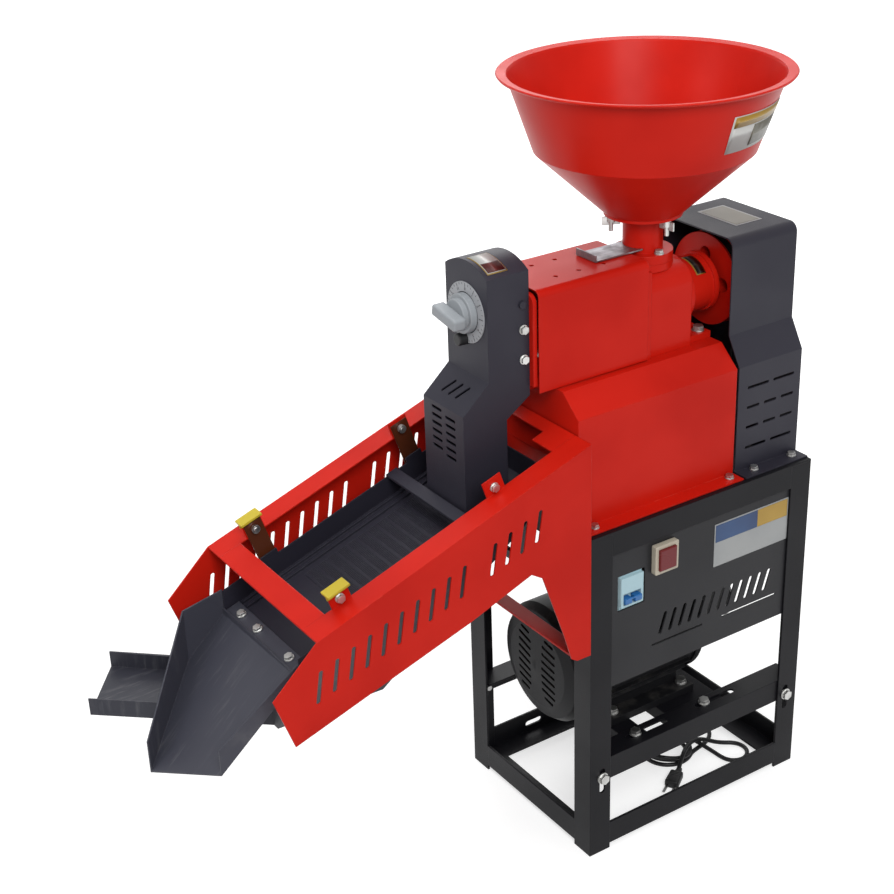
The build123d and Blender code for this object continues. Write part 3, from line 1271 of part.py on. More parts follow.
def lower_pan():
    """Funnel under the screen with the level side chute for the broken rice."""
    t = PAN_T
    top_z0 = TRAY_FLOOR_Z0 - 1.8
    x_front = -396.0
    x_back = TRAY_X[1] - 10
    y0 = TRAY_Y[0] + 4
    y1 = TRAY_Y[1] - 4

    def funnel(inset, low):
        top = [(x_front + inset, y0 + inset), (x_back - inset, y0 + inset), (x_back - inset, y1 - inset),
               (x_front + inset, y1 - inset)]
        base = [(x_front + inset, 122.0 + inset), (-245.0 - inset, 118.0 + inset), (-245.0 - inset, y1 - inset),
                (x_front + inset, y1 - inset)]
        top_face = make_face(Polyline([(x, y, slope_z(x, top_z0)) for x, y in top], close=True))
        base_face = make_face(Polyline([(x, y, low) for x, y in base], close=True))
        return loft([base_face, top_face])

    near_lip = (-574.0, 291.0)
    far_lip = (-507.0, 379.0)
    near_root = (-380.0, 118.0)
    far_root = (-350.0, 232.0)
    outer = funnel(0, PAN_Z - t)
    channel = profile_xy([near_root, near_lip, far_lip, far_root], PAN_Z - t, PAN_Z + 22)
    along = Vector(near_lip[0] - near_root[0], near_lip[1] - near_root[1], 0).normalized()
    side = Vector(-along.Y, along.X, 0)
    near_in = [near_root[0] - side.X * t, near_root[1] - side.Y * t]
    near_out = [near_lip[0] - side.X * t + along.X * 9, near_lip[1] - side.Y * t + along.Y * 9]
    far_out = [far_lip[0] + side.X * t + along.X * 9, far_lip[1] + side.Y * t + along.Y * 9]
    far_in = [far_root[0] + side.X * t, far_root[1] + side.Y * t - 6]
    hollow = profile_xy([near_in, near_out, far_out, far_in], PAN_Z, PAN_Z + 30)
    inner = funnel(t, PAN_Z)
    inner += profile_xz([(x_front + t, slope_z(x_front, top_z0) - 6), (x_back - t, slope_z(x_back, top_z0) - 6),
                         (x_back - t, slope_z(x_back, top_z0) + 9), (x_front + t, slope_z(x_front, top_z0) + 9)],
                        y0 + t, y1 - t)
    return outer + channel - hollow - inner


def drive_arm():
    """Arm under the tray that the shaker rod pushes, with the rod and its ring."""
    x0 = TRAY_X[1] - 9
    x1 = TRAY_X[1]
    return block(x0, x1, 90, 110, SHAKER_Z - 12, slope_z(x0, TRAY_FLOOR_Z0) - 2)


def shaker_rod():
    """Rod and ring round the eccentric, with running room all round it."""
    x0 = TRAY_X[1] - 8
    x1 = TRAY_X[1] - 1
    ring_r = ECCENTRIC_R + ECCENTRIC + SWING + 1
    ring = tube((x0, SHAKER_Y, SHAKER_Z), (x1, SHAKER_Y, SHAKER_Z), ring_r + 5, ring_r)
    bar = block(x0, x1, 110, SHAKER_Y - ring_r - 2, SHAKER_Z - 6, SHAKER_Z + 6)
    return ring + bar


# Shaker drive

def shaker_shaft():
    x0 = TRAY_X[1] + 2
    x1 = STAND_W - ANGLE_T - 1
    return rod((x0, SHAKER_Y, SHAKER_Z), (x1, SHAKER_Y, SHAKER_Z), SHAKER_R)


def eccentric():
    x0 = TRAY_X[1] - 9
    x1 = TRAY_X[1] + 2
    disc = rod((x0, SHAKER_Y, SHAKER_Z + ECCENTRIC), (x1, SHAKER_Y, SHAKER_Z + ECCENTRIC), ECCENTRIC_R)
    return disc


def shaker_bearings():
    """Two pillow blocks hung under the stand top."""
    blocks = []
    for x0 in (8.0, 350.0):
        body = block(x0, x0 + 20, SHAKER_Y - 24, SHAKER_Y + 24, STAND_H - ANGLE_T - 8, STAND_H - ANGLE_T)
        body += block(x0 + 4, x0 + 16, SHAKER_Y - 12, SHAKER_Y + 12, SHAKER_Z, STAND_H - ANGLE_T)
        body += rod((x0, SHAKER_Y, SHAKER_Z), (x0 + 20, SHAKER_Y, SHAKER_Z), 22)
        body -= rod((x0 - 1, SHAKER_Y, SHAKER_Z), (x0 + 21, SHAKER_Y, SHAKER_Z), SHAKER_R + 0.05)
        blocks.append(body)
    return Compound(children=blocks)


# Switches

def breaker_body():
    """Two-pole breaker: body behind the panel, its nose in the window."""
    x0, x1 = BREAKER_X
    z0, z1 = BREAKER_Z
    body = block(x0 + 1, x1 - 1, PANEL_BACK_Y, PANEL_BACK_Y + 50, z0 - 20, z1 + 20)
    body += block(x0 + 1, x1 - 1, 0.5, PANEL_BACK_Y + 1, z0, z1)
    body -= block(x0 + 5, x1 - 5, -1, 8, z0 + 3, z0 + 20)
    return body


def breaker_toggle():
    """Two linked levers on a pin across the breaker."""
    x0, x1 = BREAKER_X
    z = BREAKER_Z[0] + 11.5
    levers = []
    toggle = rod((x0 + 5.3, 5, z), (x1 - 5.3, 5, z), 2.6)
    middle = (x0 + x1) / 2
    for a, b in ((x0 + 6.5, middle - 2), (middle + 2, x1 - 6.5)):
        levers.append(block(a, b, -3.5, 5, z - 5.5, z - 0.5))
    for lever in levers:
        toggle += lever
    toggle += block(x0 + 6.5, x1 - 6.5, -3.5, -1.5, z - 4, z - 2)
    return toggle


def button_bezel():
    x0, x1 = BUTTON_X
    z0, z1 = BUTTON_Z
    wall = 3.5
    bezel = block(x0, x1, ANGLE_T - 8, ANGLE_T, z0, z1)
    bezel = fillet(bezel.edges().filter_by(Axis.Y), 2)
    bezel += block(x0 + 4.2, x1 - 4.2, ANGLE_T - 1, PANEL_BACK_Y + 30, z0 + 4.2, z1 - 4.2)
    bezel -= block(x0 + wall + 2, x1 - wall - 2, ANGLE_T - 9, PANEL_BACK_Y + 20, z0 + wall + 2, z1 - wall - 2)
    return bezel


def push_button():
    x0, x1 = BUTTON_X
    z0, z1 = BUTTON_Z
    inset = 3.5 + 2 + 0.2
    button = block(x0 + inset, x1 - inset, ANGLE_T - 12, PANEL_BACK_Y + 10, z0 + inset, z1 - inset)
    return fillet(button.faces().sort_by(Axis.Y)[0].edges(), 1.2)


# Fasteners

def stand_bolts():
    """Bolts of the hood and the guard into the stand top."""
    bolts = []
    for x in HOOD_BOLT_X + GUARD_BOLT_X:
        for y in TOP_BOLT_Y:
            bolts.append(hex_bolt((x, y, STAND_H + HOOD_T), (0, 0, -1), 6, 10))
    return Compound(children=bolts)


def rail_bolts():
    bolts = []
    for x in (RAIL_BOLT_X, STAND_W - RAIL_BOLT_X):
        bolts.append(hex_bolt((x, 0, RAIL_BOLT_Z), (0, 1, 0), 8, 14))
        bolts.append(hex_bolt((x, STAND_D, RAIL_BOLT_Z), (0, -1, 0), 8, 14))
    for x in CROSS_BOLT_X:
        for y in (CROSS_BOLT_Y, STAND_D - CROSS_BOLT_Y):
            bolts.append(hex_bolt((x, y, CROSS_TOP + ANGLE_T), (0, 0, -1), 8, 16))
    return Compound(children=bolts)


def motor_bolts():
    bolts = []
    for x in MOTOR_FOOT_X:
        for y in (MOTOR_Y - MOTOR_FOOT_Y, MOTOR_Y + MOTOR_FOOT_Y):
            bolts.append(hex_bolt((x, y, CROSS_TOP + 11), (0, 0, -1), 8, 22))
    return Compound(children=bolts)


def housing_bolts():
    bolts = []
    for y in (COVER_Y[0] + 23, COVER_Y[1] - 23):
        bolts.append(hex_bolt((FOOT_BOLT_X, y, HOOD_TOP + 9), (0, 0, -1), 8, 9))
    return Compound(children=bolts)


# Cord

def cord_radii(points):
    radii = []
    for a, b, c in zip(points, points[1:], points[2:]):
        u = Vector(*b) - Vector(*a)
        v = Vector(*c) - Vector(*b)
        turn = math.radians(u.get_angle(v))
        radii.append(0.45 * min(u.length, v.length) / math.tan(turn / 2))
    return radii


def cord_tube():
    radii = cord_radii(CORD_ROUTE)
    path = FilletPolyline(*CORD_ROUTE, radius=radii)
    start = Plane(origin=path @ 0, z_dir=path % 0)
    cord = sweep(start * Circle(CORD_D / 2), path=path)
    print("cord radii", [round(r, 1) for r in radii])
    print("cord length", round(path.length, 1), "volume ratio",
          round(cord.volume / (path.length * math.pi * CORD_D ** 2 / 4), 4))
    return cord


def cord_hank():
    """Tied bundle on the floor: a round coil, one loop to the right and the end that leads to the plug."""
    plane = Plane.XY.offset(0.1)
    coil = plane * Pos(*COIL) * (Circle(COIL_R[1]) - Circle(COIL_R[0]))
    hank = extrude(coil, amount=COIL_HIGH)
    outer = make_hull([Pos(*LOOP_TIP) * Edge.make_circle(LOOP_TIP_R), Pos(*LOOP_ROOT) * Edge.make_circle(LOOP_ROOT_R)])
    inner = make_hull([Pos(*LOOP_TIP) * Edge.make_circle(LOOP_TIP_R - CORD_D), Pos(*LOOP_ROOT) * Edge.make_circle(1)])
    hank += extrude(plane * (outer - inner), amount=CORD_D)
    hank += extrude(plane * Pos(*TIE) * Rot(0, 0, -34) * Rectangle(26, 22), amount=COIL_HIGH + 4)
    hank += rod((*TIE, 4), (*PLUG_BACK, 4), CORD_D / 2)
    hank -= rod(CORD_ROUTE[-2], CORD_ROUTE[-1], CORD_D / 2)
    return hank


def mains_plug():
    """Two-pin plug that lies on the floor at the end of the cord."""
    length, width, height = PLUG_SIZE
    body = Pos(length / 2 + 0.1, 0, height / 2) * Box(length, width, height)
    body = fillet(body.edges().filter_by(Axis.X), 4)
    pins = rod((length, -6, 5), (length + 17, -6, 5), 2)
    pins += rod((length, 6, 5), (length + 17, 6, 5), 2)
    return Pos(*PLUG_BACK, 0.1) * Rot(0, 0, PLUG_TURN) * (body + pins)


CORD_NODES = ("cord_tube", "cord_hank", "mains_plug")

NODES = {
    "stand_legs": [stand_legs],
    "stand_rings": [stand_bottom_frame, stand_top_frame],
    "front_panel": [front_panel],
    "motor_rails": [motor_rails],
    "motor_cross_rails": [motor_cross_rails],
    "motor_body": [motor_body],
    "motor_end_shields": [motor_end_shields],
    "motor_fan_cover": [motor_fan_cover],
    "motor_fan": [motor_fan],
    "motor_rotor": [motor_shaft, motor_rotor],
    "terminal_box": [terminal_box],
    "cord_gland": [cord_gland],
    "motor_pulley": [motor_pulley],
    "main_pulley": [main_pulley],
    "shaker_pulley": [shaker_pulley],
    "belts": [drive_belts, shaker_belt],
    "belt_guard": [belt_guard],
    "bran_hood": [bran_hood],
    "mill_cover": [mill_cover],
    "chamber_end_plate": [chamber_end_plate],
    "rice_screen": [rice_screen],
    "milling_roller": [milling_roller],
    "feed_screw": [feed_screw],
    "main_shaft": [main_shaft],
    "feed_housing": [feed_housing],
    "ball_bearings": [shaft_bearings, motor_bearings],
    "hopper": [hopper],
    "hopper_neck": [hopper_neck],
    "feed_gate": [feed_gate],
    "wing_bolts": [wing_bolts],
    "outlet_head": [outlet_head],
    "dial_ring": [dial_ring],
    "pressure_knob": [pressure_knob],
    "pressure_flap": [pressure_flap],
    "flap_pin": [flap_pin],
    "flap_spring": [flap_spring],
    "sieve_side_near": [sieve_side_near],
    "sieve_side_far": [sieve_side_far],
    "sieve_bars": [sieve_front_bar, sieve_end_bar, sieve_tie_bar],
    "near_strips": [near_strips],
    "far_strips": [far_strips],
    "strip_bolts": [strip_bolts_top],
    "sieve_bolts": [strip_bolts_low, chute_bolts],
    "hanger_caps": [hanger_caps],
    "sieve_tray": [sieve_tray],
    "sieve_screen": [sieve_screen],
    "tray_bridge": [tray_bridge],
    "shaker_rod": [drive_arm, shaker_rod],
    "main_chute": [main_chute],
    "lower_pan": [lower_pan],
    "shaker_shaft": [shaker_shaft, eccentric],
    "shaker_bearings": [shaker_bearings],
    "breaker_body": [breaker_body],
    "breaker_toggle": [breaker_toggle],
    "button_bezel": [button_bezel],
    "push_button": [push_button],
    "machine_bolts": [
        stand_bolts, rail_bolts, motor_bolts, housing_bolts, neck_bolts, head_bolts, frame_bolts, knob_stop],
    "cord_tube": [cord_tube],
    "cord_hank": [cord_hank],
    "mains_plug": [mains_plug],
}


def gather(makers):
    solids = []
    for maker in makers:
        solids += maker().solids()
    return solids


def frame_shift(pieces):
    """From the stand corner to the middle of the footprint, cord and plug left out."""
    boxes = [solid.bounding_box() for name, solids in pieces.items() if name not in CORD_NODES for solid in solids]
    x = min(box.min.X for box in boxes) + max(box.max.X for box in boxes)
    y = min(box.min.Y for box in boxes) + max(box.max.Y for box in boxes)
    return (-x / 2, -y / 2, -min(box.min.Z for box in boxes))


def moved(solids, shift):
    placed = [Pos(*shift) * solid for solid in solids]
    return Compound(placed) if len(placed) > 1 else placed[0]


pieces = {name: gather(makers) for name, makers in NODES.items()}
shift = frame_shift(pieces)
print("shift", [round(v, 4) for v in shift])
for name, solids in pieces.items():
    export_step(moved(solids, shift), f"parts/{name}.step")
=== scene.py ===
import math

import bmesh
import bpy
from mathutils import Matrix, Vector


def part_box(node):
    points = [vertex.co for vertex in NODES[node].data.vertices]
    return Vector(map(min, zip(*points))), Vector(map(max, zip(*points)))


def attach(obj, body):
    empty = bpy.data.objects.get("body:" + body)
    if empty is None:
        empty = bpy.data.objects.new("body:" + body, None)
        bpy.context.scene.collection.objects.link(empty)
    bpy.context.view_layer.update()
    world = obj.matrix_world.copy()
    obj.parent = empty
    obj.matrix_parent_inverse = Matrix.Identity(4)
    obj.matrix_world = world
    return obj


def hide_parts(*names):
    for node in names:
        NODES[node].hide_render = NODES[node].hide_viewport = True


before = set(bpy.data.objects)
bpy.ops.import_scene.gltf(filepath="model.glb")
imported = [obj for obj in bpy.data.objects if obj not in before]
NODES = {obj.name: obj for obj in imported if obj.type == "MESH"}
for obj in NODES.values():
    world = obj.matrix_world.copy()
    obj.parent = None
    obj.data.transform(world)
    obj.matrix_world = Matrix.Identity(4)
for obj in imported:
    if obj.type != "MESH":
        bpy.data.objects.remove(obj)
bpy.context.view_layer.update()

# Places are given in millimetres from the outer bottom corner of the near left leg.
CORNER = Vector(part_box("stand_legs")[0])


def at(x, y, z):
    return CORNER + Vector((x, y, z)) / 1000


# Node helpers

def add(tree, kind, values=(), **settings):
    """A node with its settings and inputs; an input is a value or another node's output."""
    node = tree.nodes.new(kind)
    for name, value in settings.items():
        setattr(node, name, value)
    for socket, value in dict(values).items():
        if isinstance(value, bpy.types.NodeSocket):
            tree.links.new(value, node.inputs[socket])
        else:
            node.inputs[socket].default_value = value
    return node


def sum_of(tree, operation, a, b=0.0, clamp=False):
    return add(tree, "ShaderNodeMath", {0: a, 1: b}, operation=operation, use_clamp=clamp).outputs[0]


def mix(tree, factor, a, b, blend="MIX"):
    node = add(tree, "ShaderNodeMix", {0: factor, 6: a, 7: b}, data_type="RGBA", blend_type=blend)
    return node.outputs[2]


def spread(tree, value, low, high, out_low=0.0, out_high=1.0):
    node = add(tree, "ShaderNodeMapRange", {0: value, 1: low, 2: high, 3: out_low, 4: out_high},
               interpolation_type="SMOOTHSTEP")
    return node.outputs[0]


def noise(tree, vector, scale, detail=2.0, rough=0.5):
    node = add(tree, "ShaderNodeTexNoise",
               {"Vector": vector, "Scale": scale, "Detail": detail, "Roughness": rough})
    return node.outputs["Fac"]


def new_group(name, inputs, outputs):
    tree = bpy.data.node_groups.new(name, "ShaderNodeTree")
    for label, kind in inputs:
        tree.interface.new_socket(name=label, in_out="INPUT", socket_type=kind)
    for label, kind in outputs:
        tree.interface.new_socket(name=label, in_out="OUTPUT", socket_type=kind)
    return tree, tree.nodes.new("NodeGroupInput").outputs, tree.nodes.new("NodeGroupOutput").inputs


COLOUR = "NodeSocketColor"
NUMBER = "NodeSocketFloat"
ARROW = "NodeSocketVector"

# Scales of the patterns, per metre, and depths in metres
CLOUD_SCALE = 7.0
SPECK_SCALE = 55.0
LINE_SCALE = 60.0
STAIN_SCALE = 30.0
STREAK_SCALE = 26.0
BREAK_SCALE = 12.0
COAT_ROUNDING = 0.0013
METAL_ROUNDING = 0.0006
GRAIN_DEPTH = 0.0003
LINE_DEPTH = 0.0002


def make_coat_skin():
    """Paint or moulded skin: soft mottling, fine grain, edges in the Edge colour for rubbed wear and, on
    the red enamel, for a painted highlight, and dust on what faces up.
    """
    tree, given, out = new_group("coat_skin",
                                 [("Colour", COLOUR), ("Shade", COLOUR), ("Edge", COLOUR), ("Dust", COLOUR),
                                  ("Roughness", NUMBER), ("Mottle", NUMBER), ("Grain", NUMBER),
                                  ("Grain Scale", NUMBER), ("Wear And Highlight", NUMBER), ("Dusting", NUMBER)],
                                 [("Colour", COLOUR), ("Roughness", NUMBER), ("Normal", ARROW)])
    place = tree.nodes.new("ShaderNodeTexCoord").outputs["Object"]
    clouds = noise(tree, place, CLOUD_SCALE, 3.0)
    specks = noise(tree, place, SPECK_SCALE, 3.0, 0.6)
    grain = noise(tree, place, given["Grain Scale"], 1.0)
    shade = sum_of(tree, "MULTIPLY", spread(tree, clouds, 0.35, 0.7), given["Mottle"], True)
    colour = mix(tree, shade, given["Colour"], given["Shade"])

    rounded = add(tree, "ShaderNodeBevel", {"Radius": COAT_ROUNDING}, samples=4).outputs["Normal"]
    flat = tree.nodes.new("ShaderNodeNewGeometry").outputs["True Normal"]
    turn = add(tree, "ShaderNodeVectorMath", {0: rounded, 1: flat},
               operation="DOT_PRODUCT").outputs["Value"]
    # Edge mask: rubbed wear, and where the Edge colour is a lighter tone of the coat, as on the red enamel,
    # a painted highlight along the edges.
    rim = spread(tree, turn, 0.985, 0.80)
    wear_and_highlight_mask = sum_of(tree, "MULTIPLY", rim, spread(tree, specks, 0.5, 0.66), True)
    wear_and_highlight_mask = sum_of(tree, "MULTIPLY", wear_and_highlight_mask, given["Wear And Highlight"], True)
    colour = mix(tree, wear_and_highlight_mask, colour, given["Edge"])

    up = add(tree, "ShaderNodeSeparateXYZ", {0: flat}).outputs["Z"]
    lying = spread(tree, up, 0.5, 0.95)
    film = sum_of(tree, "MULTIPLY", lying, spread(tree, specks, 0.42, 0.75), True)
    film = sum_of(tree, "MULTIPLY", film, given["Dusting"], True)
    colour = mix(tree, film, colour, given["Dust"])

    uneven = spread(tree, clouds, 0.3, 0.7, -0.05, 0.06)
    rough = sum_of(tree, "ADD", given["Roughness"], uneven)
    rough = sum_of(tree, "ADD", rough, sum_of(tree, "MULTIPLY", film, 0.25), True)
    bump = add(tree, "ShaderNodeBump",
               {"Strength": given["Grain"], "Distance": GRAIN_DEPTH, "Height": grain, "Normal": rounded})
    tree.links.new(colour, out["Colour"])
    tree.links.new(rough, out["Roughness"])
    tree.links.new(bump.outputs[0], out["Normal"])
    return tree


def make_metal_skin():
    """Bare or plated metal: drawn lines along one axis, soft stains and rounded edges."""
    tree, given, out = new_group("metal_skin",
                                 [("Colour", COLOUR), ("Stain", COLOUR), ("Roughness", NUMBER),
                                  ("Staining", NUMBER), ("Lines", NUMBER), ("Stretch", ARROW)],
                                 [("Colour", COLOUR), ("Roughness", NUMBER), ("Normal", ARROW)])
    place = tree.nodes.new("ShaderNodeTexCoord").outputs["Object"]
    stretched = add(tree, "ShaderNodeVectorMath", {0: place, 1: given["Stretch"]},
                    operation="MULTIPLY").outputs[0]
    lines = noise(tree, stretched, LINE_SCALE, 3.0)
    stains = noise(tree, place, STAIN_SCALE, 4.0, 0.6)
    mask = sum_of(tree, "MULTIPLY", spread(tree, stains, 0.45, 0.7), given["Staining"], True)
    colour = mix(tree, mask, given["Colour"], given["Stain"])
    colour = mix(tree, sum_of(tree, "MULTIPLY", lines, 0.25, True), colour, given["Stain"])
    rough = sum_of(tree, "ADD", given["Roughness"], spread(tree, lines, 0.3, 0.7, -0.06, 0.08))
    rough = sum_of(tree, "ADD", rough, sum_of(tree, "MULTIPLY", mask, 0.2), True)
    rounded = add(tree, "ShaderNodeBevel", {"Radius": METAL_ROUNDING}, samples=4).outputs["Normal"]
    bump = add(tree, "ShaderNodeBump",
               {"Strength": given["Lines"], "Distance": LINE_DEPTH, "Height": lines, "Normal": rounded})
    tree.links.new(colour, out["Colour"])
    tree.links.new(rough, out["Roughness"])
    tree.links.new(bump.outputs[0], out["Normal"])
    return tree


def make_flow_marks():
    """Painted reflection: pale streaks that run down a chute, broken into patches."""
    tree, given, out = new_group("painted_reflection_bands", [("Stretch", ARROW), ("Strength", NUMBER)],
                                 [("Mask", NUMBER)])
    place = tree.nodes.new("ShaderNodeTexCoord").outputs["Object"]
    along = add(tree, "ShaderNodeVectorMath", {0: place, 1: given["Stretch"]},
                operation="MULTIPLY").outputs[0]
    reflection_bands = spread(tree, noise(tree, along, STREAK_SCALE, 4.0, 0.65), 0.5, 0.72)
    broken = spread(tree, noise(tree, place, BREAK_SCALE, 2.0), 0.35, 0.65)
    mask = sum_of(tree, "MULTIPLY", sum_of(tree, "MULTIPLY", reflection_bands, broken), given["Strength"], True)
    tree.links.new(mask, out["Mask"])
    return tree


COAT_SKIN = make_coat_skin()
METAL_SKIN = make_metal_skin()
REFLECTION_BANDS = make_flow_marks()


# Finishes

def start_material(name):
    material = bpy.data.materials.new(name)
    material.use_nodes = True
    tree = material.node_tree
    shader = tree.nodes["Principled BSDF"]
    return material, tree, shader


def place_group(tree, group, values):
    node = tree.nodes.new("ShaderNodeGroup")
    node.node_tree = group
    for name, value in values.items():
        node.inputs[name].default_value = value
    return node


def rgb(red, green, blue):
    return (red, green, blue, 1.0)


RUBBED_GREY = rgb(0.5, 0.5, 0.5)
DUST = rgb(0.5, 0.47, 0.42)
# Colour and strength of the pale streaks painted on the chute and pan as a reflection
REFLECTION_BAND_COLOUR = rgb(0.12, 0.12, 0.13)
REFLECTION_BAND_STRENGTH = 0.45


def coated(name, colour, shade, rough, edge=RUBBED_GREY, dust=DUST, mottle=0.6, grain=0.25,
           grain_scale=900.0, wear_and_highlight=0.25, dusting=0.0, coat=0.0, coat_rough=0.2, specular=0.5, reflection_bands=None):
    """Painted, powder coated or moulded finish."""
    material, tree, shader = start_material(name)
    skin = place_group(tree, COAT_SKIN, {
        "Colour": colour, "Shade": shade, "Edge": edge, "Dust": dust, "Roughness": rough, "Mottle": mottle,
        "Grain": grain, "Grain Scale": grain_scale, "Wear And Highlight": wear_and_highlight, "Dusting": dusting})
    result = skin.outputs["Colour"]
    # Pale streaks painted on as a reflection
    if reflection_bands:
        marks = place_group(tree, REFLECTION_BANDS, {"Stretch": reflection_bands, "Strength": REFLECTION_BAND_STRENGTH})
        result = mix(tree, marks.outputs["Mask"], result, REFLECTION_BAND_COLOUR)
    tree.links.new(result, shader.inputs["Base Color"])
    tree.links.new(skin.outputs["Roughness"], shader.inputs["Roughness"])
    tree.links.new(skin.outputs["Normal"], shader.inputs["Normal"])
    shader.inputs["Coat Weight"].default_value = coat
    shader.inputs["Coat Roughness"].default_value = coat_rough
    shader.inputs["Specular IOR Level"].default_value = specular
    return material


def metallic(name, colour, stain, rough, staining=0.4, lines=0.2, stretch=(1, 1, 1)):
    """Bare or plated metal finish."""
    material, tree, shader = start_material(name)
    skin = place_group(tree, METAL_SKIN,
                       {"Colour": colour, "Stain": stain, "Roughness": rough, "Staining": staining,
                        "Lines": lines, "Stretch": stretch})
    tree.links.new(skin.outputs["Colour"], shader.inputs["Base Color"])
    tree.links.new(skin.outputs["Roughness"], shader.inputs["Roughness"])
    tree.links.new(skin.outputs["Normal"], shader.inputs["Normal"])
    shader.inputs["Metallic"].default_value = 1.0
    return material


# The red enamel's edge colour is a lighter red: a painted highlight along its edges, laid with the
# rubbed-wear specks.
RED = coated("red_enamel", rgb(0.58, 0.014, 0.006), rgb(0.44, 0.008, 0.0035), 0.36,
             edge=rgb(0.78, 0.10, 0.06), grain=0.08, grain_scale=420.0, wear_and_highlight=0.5, coat=0.0, specular=0.11)
CHARCOAL = coated("charcoal_powder", rgb(0.026, 0.025, 0.036), rgb(0.019, 0.018, 0.028), 0.46,
                  edge=rgb(0.085, 0.085, 0.10), grain=0.35, grain_scale=1300.0, wear_and_highlight=0.4, specular=0.22)
TRAY_DARK = coated("charcoal_tray", rgb(0.020, 0.019, 0.029), rgb(0.014, 0.0135, 0.021), 0.44,
                   edge=rgb(0.075, 0.075, 0.09), grain=0.3, grain_scale=1300.0, wear_and_highlight=0.4, specular=0.22)
# Chute and pan carry pale streaks painted on as a reflection.
CHUTE = coated("charcoal_chute", rgb(0.047, 0.048, 0.064), rgb(0.039, 0.040, 0.054), 0.44,
               edge=rgb(0.11, 0.11, 0.13), grain=0.3, grain_scale=1300.0, wear_and_highlight=0.5, specular=0.25,
               reflection_bands=(0.5, 5.0, 0.6))
PAN = coated("charcoal_pan", rgb(0.031, 0.032, 0.043), rgb(0.024, 0.025, 0.034), 0.44,
             edge=rgb(0.10, 0.10, 0.12), grain=0.3, grain_scale=1300.0, wear_and_highlight=0.5, specular=0.22,
             reflection_bands=(0.6, 5.0, 0.5))
FRAME_BLACK = coated("frame_black", rgb(0.0060, 0.0058, 0.0078), rgb(0.0042, 0.0041, 0.0055), 0.42,
                     edge=rgb(0.05, 0.05, 0.055), grain=0.3, grain_scale=1200.0, wear_and_highlight=0.4, specular=0.15)
PANEL_GREY = coated("panel_charcoal", rgb(0.0140, 0.0140, 0.0165), rgb(0.010, 0.010, 0.012), 0.42,
                    edge=rgb(0.09, 0.09, 0.09), grain=0.3, grain_scale=1200.0, wear_and_highlight=0.35, specular=0.22)
MOTOR = coated("motor_black", rgb(0.0075, 0.0075, 0.0088), rgb(0.005, 0.005, 0.006), 0.48,
               edge=rgb(0.05, 0.05, 0.05), grain=0.5, grain_scale=700.0, wear_and_highlight=0.3, dusting=0.05,
               specular=0.16)
ZINC = metallic("zinc_plate", rgb(0.58, 0.58, 0.57), rgb(0.30, 0.30, 0.28), 0.36, staining=0.5)
BRIGHT = metallic("bright_steel", rgb(0.50, 0.50, 0.50), rgb(0.28, 0.27, 0.26), 0.30,
                  stretch=(0.3, 6.0, 1.0))
GATE = metallic("gate_plate", rgb(0.30, 0.29, 0.31), rgb(0.17, 0.16, 0.17), 0.42, staining=0.7,
                stretch=(0.3, 6.0, 1.0))
SHAFT = metallic("ground_shaft", rgb(0.50, 0.50, 0.49), rgb(0.26, 0.25, 0.23), 0.24,
                 stretch=(12.0, 0.6, 0.6))
IRON = metallic("bare_iron", rgb(0.16, 0.16, 0.165), rgb(0.09, 0.08, 0.075), 0.48, staining=0.7, lines=0.5)
STRIP = coated("brown_laminate", rgb(0.090, 0.022, 0.008), rgb(0.045, 0.011, 0.004), 0.34,
               edge=rgb(0.20, 0.08, 0.04), mottle=0.9, grain=0.2, grain_scale=650.0, wear_and_highlight=0.4, coat=0.1,
               specular=0.3)
YELLOW = coated("yellow_cap", rgb(0.56, 0.44, 0.035), rgb(0.42, 0.32, 0.02), 0.38,
                edge=rgb(0.05, 0.045, 0.02), wear_and_highlight=0.8, specular=0.25)
KNOB = coated("knob_grey", rgb(0.31, 0.33, 0.35), rgb(0.25, 0.27, 0.29), 0.42, edge=rgb(0.5, 0.5, 0.5),
              mottle=0.4, grain=0.2, grain_scale=1500.0, wear_and_highlight=0.3, specular=0.35)
DIAL = coated("dial_grey", rgb(0.36, 0.37, 0.39), rgb(0.28, 0.29, 0.31), 0.38, edge=rgb(0.6, 0.6, 0.6),
              mottle=0.3, grain=0.1, wear_and_highlight=0.2, specular=0.35)
MARKS = coated("dial_marks", rgb(0.03, 0.03, 0.035), rgb(0.02, 0.02, 0.025), 0.5, mottle=0.2, grain=0.0,
               wear_and_highlight=0.0)
BLACK_PLASTIC = coated("black_plastic", rgb(0.014, 0.014, 0.015), rgb(0.010, 0.010, 0.011), 0.45, grain=0.3,
                       edge=rgb(0.05, 0.05, 0.05), wear_and_highlight=0.2, specular=0.3)
RUBBER = coated("black_rubber", rgb(0.013, 0.013, 0.014), rgb(0.009, 0.009, 0.010), 0.55, grain=0.35,
                edge=rgb(0.04, 0.04, 0.04), grain_scale=1600.0, wear_and_highlight=0.3, dusting=0.06, specular=0.25)
CORD_SKIN = coated("cord_sheath", rgb(0.010, 0.010, 0.011), rgb(0.007, 0.007, 0.008), 0.40, grain=0.2,
                   edge=rgb(0.02, 0.02, 0.02), grain_scale=1800.0, wear_and_highlight=0.1, specular=0.3)
CREAM = coated("cream_bezel", rgb(0.50, 0.45, 0.36), rgb(0.42, 0.37, 0.29), 0.35, edge=rgb(0.6, 0.55, 0.45),
               mottle=0.4, grain=0.1, wear_and_highlight=0.3, specular=0.35)
DARK_RED = coated("dark_red_button", rgb(0.15, 0.004, 0.007), rgb(0.10, 0.003, 0.005), 0.28,
                  edge=rgb(0.3, 0.03, 0.03), grain=0.05, wear_and_highlight=0.2, coat=0.1, specular=0.3)
PALE = coated("pale_breaker", rgb(0.42, 0.60, 0.66), rgb(0.34, 0.52, 0.60), 0.42, edge=rgb(0.6, 0.7, 0.74),
              mottle=0.3, grain=0.1, wear_and_highlight=0.2, specular=0.35)
